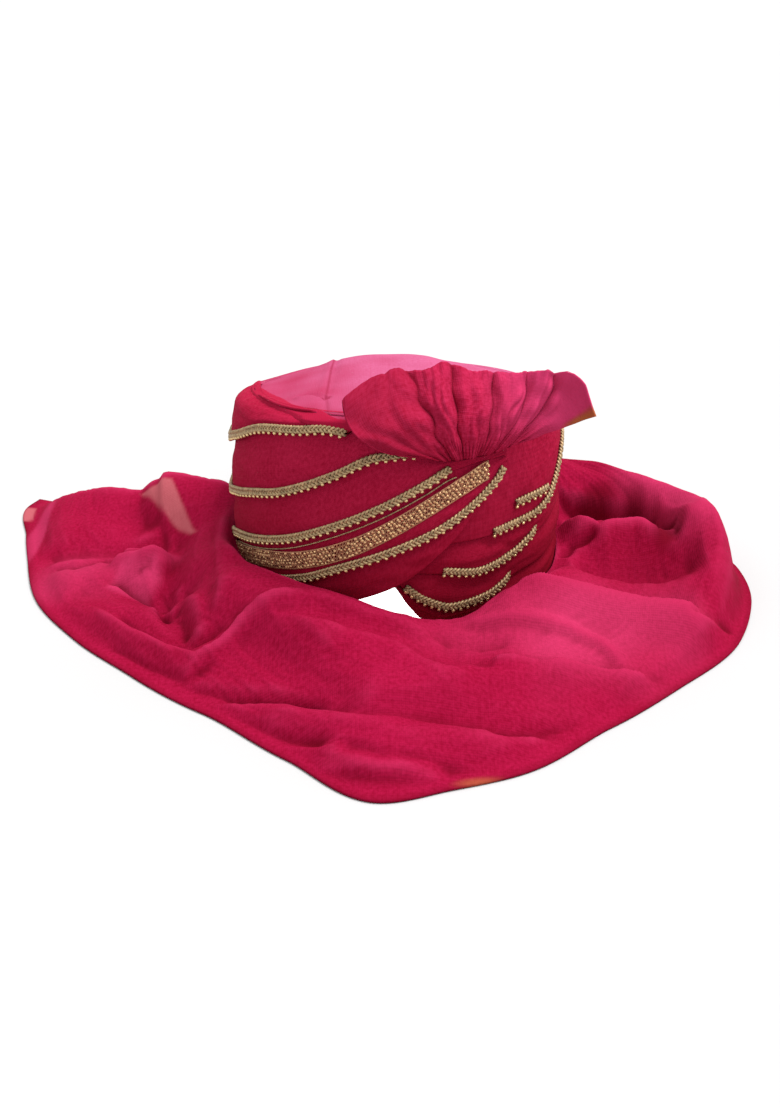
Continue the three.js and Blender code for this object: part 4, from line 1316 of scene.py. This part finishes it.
    def drape(self, body, turns, lip):
        """Rows from the lip over the rim, and down the face where the cloth hangs over it."""
        end = np.minimum(along(self.hem, "turn", "inset", turns), lip - self.least_drape)
        drop = along(self.hem, "turn", "drop", turns)
        hangs = drop > self.hangs_over
        lift_at_lip = CAP_GAP + self.lip_drop
        lift_at_end = self.cloth_thickness + self.cloth_gap
        rows = []
        insets = []
        for step in np.linspace(0, 1, self.drape_rows)[1:]:
            inset = mix(lip, end, step)
            lift = mix(lift_at_lip, lift_at_end, smooth(step * 1.3))
            lift = lift - self.hem_tuck * ramp(step, 0.8, 1) * ~hangs
            out = (LAP_OUT - self.face_tuck) * smooth(step) * hangs
            row = body.point(turns, body.height, out - inset)
            row[:, 2] = self.over_rim(body, turns, inset) + lift
            rows.append(row)
            insets.append(inset)
        for step in range(1, self.face_rows):
            row = rows[-1].copy()
            row[:, 2] -= np.maximum(drop, self.least_drop) / (self.face_rows - 1)
            rows.append(row)
            insets.append(end)
        return rows, insets

    @staticmethod
    def oval(x, y, halves):
        """Distance from the axis, 1 on the oval."""
        return np.hypot(x / halves[0], y / halves[1])

    def taut(self, points):
        """The rows pulled straight over the groove between the dome and the rim's crest."""
        distance = np.hypot(*from_axis(points))
        crest = self.dome_rows + np.argmax(points[self.dome_rows:, :, 2], axis=0)
        columns = np.arange(points.shape[1])
        near, far = distance[self.taut_row], distance[crest, columns]
        share = (distance - near) / (far - near)
        bridge = mix(points[self.taut_row, :, 2], points[crest, columns, 2], share)
        spans = (share > 0) & (share < 1)
        points[..., 2] = np.where(spans, np.maximum(points[..., 2], bridge), points[..., 2])
        return points

    def over_rim(self, body, turns, inset):
        """Height of the windings' rim at a distance inside their face."""
        reach = RIM_CREST + LAP_OUT / 2
        cos = np.clip(1 - (inset + LAP_OUT / 2) / reach, 0, 1)
        rounding = along(self.hem, "turn", "rounding", turns)
        shoulder = body.rim(turns) - rounding * (1 - np.sqrt(1 - cos**2))
        return np.where(inset < RIM_CREST, shoulder, body.rim_face(turns, inset))


class TURBAN_OT_fan(Operator):
    """Pleats the free end of the cloth into the fan at the front"""

    bl_idname = "turban.fan"
    bl_label = "Pleated fan"

    columns = 300
    rows = 46
    foot_share = 0.95
    clear = 0.012
    thickness = 0.0022
    cloth_thickness = 0.0010
    # How far the pleats are open at the foot, and how soon they open above it
    gathered = 0.25
    opening = 1.5
    face_up = 0.6
    ridge_power = 0.75
    fine_pleats = 0.10
    foot_gathers = 0.096
    settle = 0.0032
    # Height of the top edge's unevenness, coarse and fine, and of the cloth's own waves
    ragged = 0.0009
    frayed = 0.0003
    wave = 0.0007

    def execute(self, context):
        body, sizes, colours = turban_settings()
        # The cloth is lightened with painted light, more on its right half and at its top, with
        # painted shade in its pleats and on its left
        light = mixed(colours.crimson, colours.blush, 0.25)
        cloth = voile("fan_voile", light, colours.crimson_deep,
                      {"furrow": colours.crimson_shade, "blush": colours.blush,
                       "amber": colours.amber})
        points, painted = self.surface(body, sizes)
        bm = bmesh.new()
        add_grid(bm, points, painted=painted)
        piece = finish_mesh(bm, "fan_cloth", [cloth], outwards=False)
        thicken(piece, self.cloth_thickness, 0)
        seat(piece, "fan")
        return {"FINISHED"}

    def spread(self, body, sizes, rib, share):
        """The fan without its pleats: an arc for each rib from its foot by its knee to its top."""
        def height(table):
            up = sizes.fan_reach * along(table, "rib", "up", rib)
            return body.height * self.foot_share + up

        def edge(table, out):
            x = sizes.fan_span * along(table, "rib", "across", rib)
            turn = -np.degrees(np.arccos(np.clip(x / (body.width / 2), -1, 1)))
            return body.point(turn, height(table), out)

        foot = edge(FAN_FOOT, LAP_OUT + BULGE_OUT + PIECE_GAP + self.thickness)
        knee = edge(FAN_KNEE, LAP_OUT + self.clear)
        ragged = self.ragged * ripples(rib * 9, 0, 41) + self.frayed * ripples(rib * 40, 0, 42)
        top = np.stack([
            AXIS.x + sizes.fan_span * along(FAN_TOP, "rib", "across", rib),
            AXIS.y - body.depth / 2 + sizes.fan_lean * along(FAN_TOP, "rib", "back", rib),
            height(FAN_TOP) + ragged - self.settle * ramp(rib, 0.3, 0.45),
        ], -1)
        s = share[..., None]
        return foot * (1 - s) ** 2 + knee * 2 * s * (1 - s) + top * s**2

    def surface(self, body, sizes):
        """Rows of points from the fan's foot to its top edge, and the colours on them."""
        rib = np.linspace(0, 1, self.columns)
        share = np.linspace(0, 1, self.rows)[:, None]
        points = self.spread(body, sizes, rib, share)
        pleats = along(FAN_FOLDS, "rib", "fold", rib)
        ridge = np.abs(np.cos(np.pi * (pleats + 0.05 * ripples(share * 2, rib * 2, 43))))
        ridge = ridge ** self.ridge_power
        fine = np.cos(6 * np.pi * pleats + 2.2 * ripples(share * 1.5, rib * 5, 44))
        gathers = self.foot_gathers * np.cos(14 * np.pi * pleats) * (1 - smooth(share * 2.4))
        opening = np.minimum(1, self.gathered + self.opening * share)
        swell = sizes.pleat_depth * (opening * ridge * (1 + self.fine_pleats * fine) + gathers)
        wave = self.wave * ripples(share * 3, rib * 12, 45)
        aside = (points[..., 0] - AXIS.x) / body.width
        facing = unit(np.stack(np.broadcast_arrays(aside, -1.0, self.face_up * share), -1))
        points = points + (swell + wave)[..., None] * facing
        # The gold-dyed corner, painted light on the right half and the top, painted shade in pleats
        # and on the left
        amber = ramp(rib, 0.975, 0.99) * ramp(share, 0.45, 0.7)
        blush = 0.9 * ramp(rib, 0.45, 0.85) * ramp(share, 0, 0.5) + 0.1 * smooth(share)
        furrow = np.maximum(0.6 * ramp(ridge, 0.5, 0), 0.45 * ramp(rib, 0.45, 0.05))
        return points, {"amber": amber, "blush": blush * (1 - amber), "furrow": furrow}


class TURBAN_OT_tail(Operator):
    """Heaps the loose tail round the turban, with its folds and pockets"""

    bl_idname = "turban.tail"
    bl_label = "Loose tail"

    lanes = 92
    curtain_rows = 5
    closing_columns = 6
    closing_turn = 2.5
    clear = 0.0035
    tuck_clear = 0.0029
    tuck_share = 0.5
    cloth_thickness = 0.0012
    foot_height = 0.0012
    least_heap = 0.02
    hem_slope = 8
    curtain_slope = 0.0016
    # Heights of the wrinkles, in metres
    broad_wrinkle = 0.0007
    sharp_wrinkle = 0.0014
    fine_wrinkle = 0.0002
    # Grid steps within which the cloth counts as a ridge or furrow, and how high or deep it is then
    relief_reach = (7, 5)
    relief_depth = 0.0034
    # Strength of the painted shade in furrows
    furrow_share = 0.85
    # Spots by turn and lane, with their reach along and across the heap, softness and strength:
    # first painted light where the cloth is lit, then the gold-dyed one, then painted shade in the
    # pockets
    painted_light_spots = (
        (-169, 0.46, 0.020, 0.030, 0.9, 0.5),
        (-172, 0.75, 0.045, 0.050, 1.0, 0.35),
        (-184, 1.0, 0.075, 0.008, 0.4, 0.5),
        (-45, 0.58, 0.085, 0.055, 1.0, 0.5),
        (14, 0.88, 0.110, 0.036, 1.0, 0.6),
        (-66, 0.25, 0.070, 0.040, 1.1, 0.3),
    )
    amber_spots = (
        (-81, 0.99, 0.016, 0.005, 1.0, 0.5),
    )
    shade_spots = (
        (-18, 0.45, 0.040, 0.035, 1.0, 0.3),
        (17, 0.40, 0.016, 0.022, 0.9, 0.8),
        (9, 0.57, 0.022, 0.012, 0.9, 0.8),
        (-5, 0.56, 0.020, 0.012, 0.9, 0.8),
    )
    spot_edge = 1.15
    spot_ripple = 0.12
    # Corners, by turn and lane, of the lit face beside the hollow on the left, where light is
    # painted
    lit_patches = (
        ((-164, 0.675), (-170, 0.567), (-169, 0.367), (-161, 0.42), (-157, 0.537)),
    )
    # Corners, by turn and lane, of the places where a single layer lets the floor show
    thin_patches = (
        ((-198, 0.45), (-197, 0.31), (-179, 0.185), (-186, 0.29)),
        ((-199, 0.955), (-195, 0.955), (-194, 1.06), (-199, 1.06)),
    )
    thin_soft = 0.003
    lit_soft = 0.009
    lit_share = 0.6
    # The hem's last rows turn darker
    hem_shade = 0.45
    hem_rows = 5

    def execute(self, context):
        body, sizes, colours = turban_settings()
        # Painted highlight on ridges, painted shade in furrows, pockets and at the hem, and painted
        # light where lit
        cloth = voile("tail_voile", colours.rose, colours.rose_deep,
                      {"blush": colours.blush,
                       "ridge": mixed(colours.rose, colours.blush, 0.3),
                       "furrow": colours.rose_shade,
                       "thin": colours.thin_voile, "amber": colours.amber})
        turns = np.linspace(TAIL_HEAP["turn"][0], TAIL_HEAP["turn"][-1], sizes.tail_columns)
        lanes = np.linspace(0, 1, self.lanes)
        top = self.surface(body, sizes, *np.meshgrid(turns, lanes, indexing="ij"))
        points = self.closed_down(np.concatenate([self.curtain(top), top], axis=1))
        bm = bmesh.new()
        add_grid(bm, points, planar=True, painted=self.dyes(body, sizes, points))
        piece = finish_mesh(bm, "tail_cloth", [cloth], outwards=False)
        thicken(piece, self.cloth_thickness, 0)
        seat(piece, "tail")
        return {"FINISHED"}

    def dyes(self, body, sizes, points):
        """How strongly each colour shows at each point."""
        # Painted highlight on ridges, and painted shade in furrows, in the pockets and at the hem
        relief = points[..., 2] - blurred(points[..., 2], self.relief_reach)
        # Painted light on the lit spots and on the lit face beside the hollow
        lit = self.spots(body, sizes, points, self.painted_light_spots)
        pale = self.patches(body, sizes, points, self.lit_patches, self.lit_soft)
        dark = self.spots(body, sizes, points, self.shade_spots)
        hem = np.zeros_like(dark)
        hem[:, -self.hem_rows:] = self.hem_shade * np.linspace(0, 1, self.hem_rows)
        furrow = self.furrow_share * smooth(-relief / self.relief_depth)
        return {"ridge": smooth(relief / self.relief_depth),
                "furrow": np.maximum(np.maximum(furrow, dark), hem),
                "blush": np.maximum(lit, self.lit_share * pale),
                "thin": self.patches(body, sizes, points, self.thin_patches, self.thin_soft),
                "amber": self.spots(body, sizes, points, self.amber_spots)}

    def inner_radius(self, body, sizes, turn):
        """Distance from the axis to the heap's inner edge, just clear of the body."""
        clear = mix(self.clear, self.tuck_clear, ramp(turn, 26, 40))
        return body.radius(turn) * body.taper(sizes.tail_loft * self.tuck_share) + clear

    def place(self, body, sizes, turn, lane):
        """Where a turn and lane of the heap lie on the floor, from the axis."""
        inner = self.inner_radius(body, sizes, turn)
        outer = sizes.tail_reach * along(TAIL_HEAP, "turn", "reach", turn)
        reach = mix(inner, outer, lane)
        return reach * np.cos(np.radians(turn)), reach * np.sin(np.radians(turn))

    def surface(self, body, sizes, turn, lane):
        """The top of the heap, with its folds, creases and wrinkles."""
        x, y = self.place(body, sizes, turn, lane)
        heap = self.profile(turn, lane)
        for row in BROAD_FOLDS:
            heap = heap + self.laid(body, sizes, x, y, row, BROAD_ENDS)
        for row in CREASES:
            heap = heap + self.laid(body, sizes, x, y, row, CREASE_ENDS) / sizes.tail_loft
        wrinkles = self.wrinkles(turn, lane, x, y) / sizes.tail_loft
        heap = np.maximum(0.0, np.maximum(self.least_heap, heap) + wrinkles)
        edge = np.minimum(1, (1 - lane) * self.hem_slope)
        height = self.foot_height + sizes.tail_loft * heap * edge
        return np.stack([x + AXIS.x, y + AXIS.y, height], -1)

    def laid(self, body, sizes, x, y, row, ends):
        """A crease whose route is given by turn and lane."""
        turns, lanes = np.transpose(row["route"])
        route = np.stack(self.place(body, sizes, turns, lanes), -1)
        return crease(x, y, row, route, ends)

    @staticmethod
    def profile(turn, lane):
        """The heap's height across its lanes, as a share of its loft."""
        turns = turn[:, 0]
        heights = [along(TAIL_HEAP, "turn", name, turns)
                   for name in ("inner", "crest", "middle", "fall")]
        heights.append(np.zeros_like(turns))
        return hermite(HEAP_LANES, heights, lane[0]).T

    def wrinkles(self, turn, lane, x, y):
        """Fine soft creases that run round the heap and fade at the hem, in metres."""
        bend = 0.35 * ripples(x / 0.16, y / 0.16, 51)
        long_way, cross = turn / 55 + bend, lane * 3.2 + 1.2 * bend
        broad = ripples(long_way * 1.1, cross * 1.1, 52)
        sharp = 1 - np.abs(ripples(long_way * 1.1 + bend, cross * 1.5, 53))
        fine = ripples(long_way * 5, cross * 4.5, 54)
        height = self.broad_wrinkle * broad + self.fine_wrinkle * fine
        height = height + self.sharp_wrinkle * np.maximum(0, sharp - 0.4) ** 2
        return height * ramp(lane, 0, 0.125) * ramp(lane, 1, 0.8)

    def curtain(self, points):
        """Rows that lead the inner edge down to the floor beside the body."""
        inner = points[:, 0]
        rows = []
        for step in np.linspace(0, 1, self.curtain_rows + 1)[:-1]:
            row = inner.copy()
            row[:, 2] = mix(self.foot_height, inner[:, 2], math.sin(step * np.pi / 2))
            row[:, :2] -= unit(row[:, :2] - np.array(AXIS.xy)) * self.curtain_slope * (1 - step)
            rows.append(row)
        return np.array(rows).transpose(1, 0, 2)

    def closed_down(self, points):
        """Columns that lead both ends of the heap down to the floor."""
        def closing(edge, step_turn):
            columns = []
            for step in np.linspace(1, 0, self.closing_columns + 1)[:-1]:
                angle = math.radians(step_turn * (1 - math.cos(step * np.pi / 2)))
                turned = edge - np.array(AXIS)
                cos, sin = math.cos(angle), math.sin(angle)
                column = np.stack([turned[:, 0] * cos - turned[:, 1] * sin,
                                   turned[:, 0] * sin + turned[:, 1] * cos, edge[:, 2]], -1)
                column[:, 2] = mix(self.foot_height, edge[:, 2], math.cos(step * np.pi / 2))
                columns.append(column + np.array([AXIS.x, AXIS.y, 0]))
            return np.array(columns)

        first = closing(points[0], self.closing_turn)
        last = closing(points[-1], -self.closing_turn)[::-1]
        return np.concatenate([first, points, last], axis=0)

    def patches(self, body, sizes, points, outlines, soft):
        """1 inside the outlines, falling softly to 0 at their edges."""
        x, y = from_axis(points)
        total = np.zeros_like(x)
        for corners in outlines:
            corners = np.array([self.place(body, sizes, *corner) for corner in corners])
            middle = corners.mean(axis=0)
            inside = np.full_like(x, np.inf)
            for start, end in zip(corners, np.roll(corners, -1, axis=0)):
                step = (end - start) / np.linalg.norm(end - start)
                away = (x - start[0]) * step[1] - (y - start[1]) * step[0]
                facing = (middle[0] - start[0]) * step[1] - (middle[1] - start[1]) * step[0]
                inside = np.minimum(inside, away * np.sign(facing))
            total = np.maximum(total, smooth(inside / soft + 0.5))
        return total

    def spots(self, body, sizes, points, rows):
        """How strongly each spot colours a point, softly edged along and across the heap."""
        x, y = from_axis(points)
        total = np.zeros_like(x)
        for turn, lane, reach_along, reach_across, soft, amount in rows:
            spot_x, spot_y = self.place(body, sizes, turn, lane)
            outward = np.array([spot_x, spot_y]) / math.hypot(spot_x, spot_y)
            out = (x - spot_x) * outward[0] + (y - spot_y) * outward[1]
            round_it = (x - spot_x) * -outward[1] + (y - spot_y) * outward[0]
            away = np.hypot(out / reach_across, round_it / reach_along)
            away = away + self.spot_ripple * ripples(x / 0.09, y / 0.07, 61)
            total = total + amount * smooth((self.spot_edge - away) / soft)
        return np.clip(total, 0, 1)


OPERATORS = (
    TURBAN_OT_windings,
    TURBAN_OT_crown,
    TURBAN_OT_braids,
    TURBAN_OT_lace,
    TURBAN_OT_fan,
    TURBAN_OT_tail,
    TURBAN_OT_stage,
)


class TURBAN_PT_panel(Panel):
    """Lists the turban's pieces and their sizes in the sidebar"""

    bl_idname = "TURBAN_PT_panel"
    bl_label = "Tied Turban"
    bl_space_type = "VIEW_3D"
    bl_region_type = "UI"
    bl_category = "Turban"

    def draw(self, context):
        column = self.layout.column(align=True)
        for operator in OPERATORS:
            column.operator(operator.bl_idname)
        for settings in (context.scene.turban_sizes, context.scene.turban_colours):
            for name in type(settings).__annotations__:
                column.prop(settings, name)


CLASSES = (TurbanSizes, TurbanColours, *OPERATORS, TURBAN_PT_panel)


def register():
    for cls in CLASSES:
        bpy.utils.register_class(cls)
    bpy.types.Scene.turban_sizes = PointerProperty(type=TurbanSizes)
    bpy.types.Scene.turban_colours = PointerProperty(type=TurbanColours)


def unregister():
    del bpy.types.Scene.turban_colours
    del bpy.types.Scene.turban_sizes
    for cls in reversed(CLASSES):
        bpy.utils.unregister_class(cls)


def main():
    register()
    for operator in OPERATORS:
        family, name = operator.bl_idname.split(".")
        getattr(getattr(bpy.ops, family), name)()


if __name__ == "__main__":
    main()
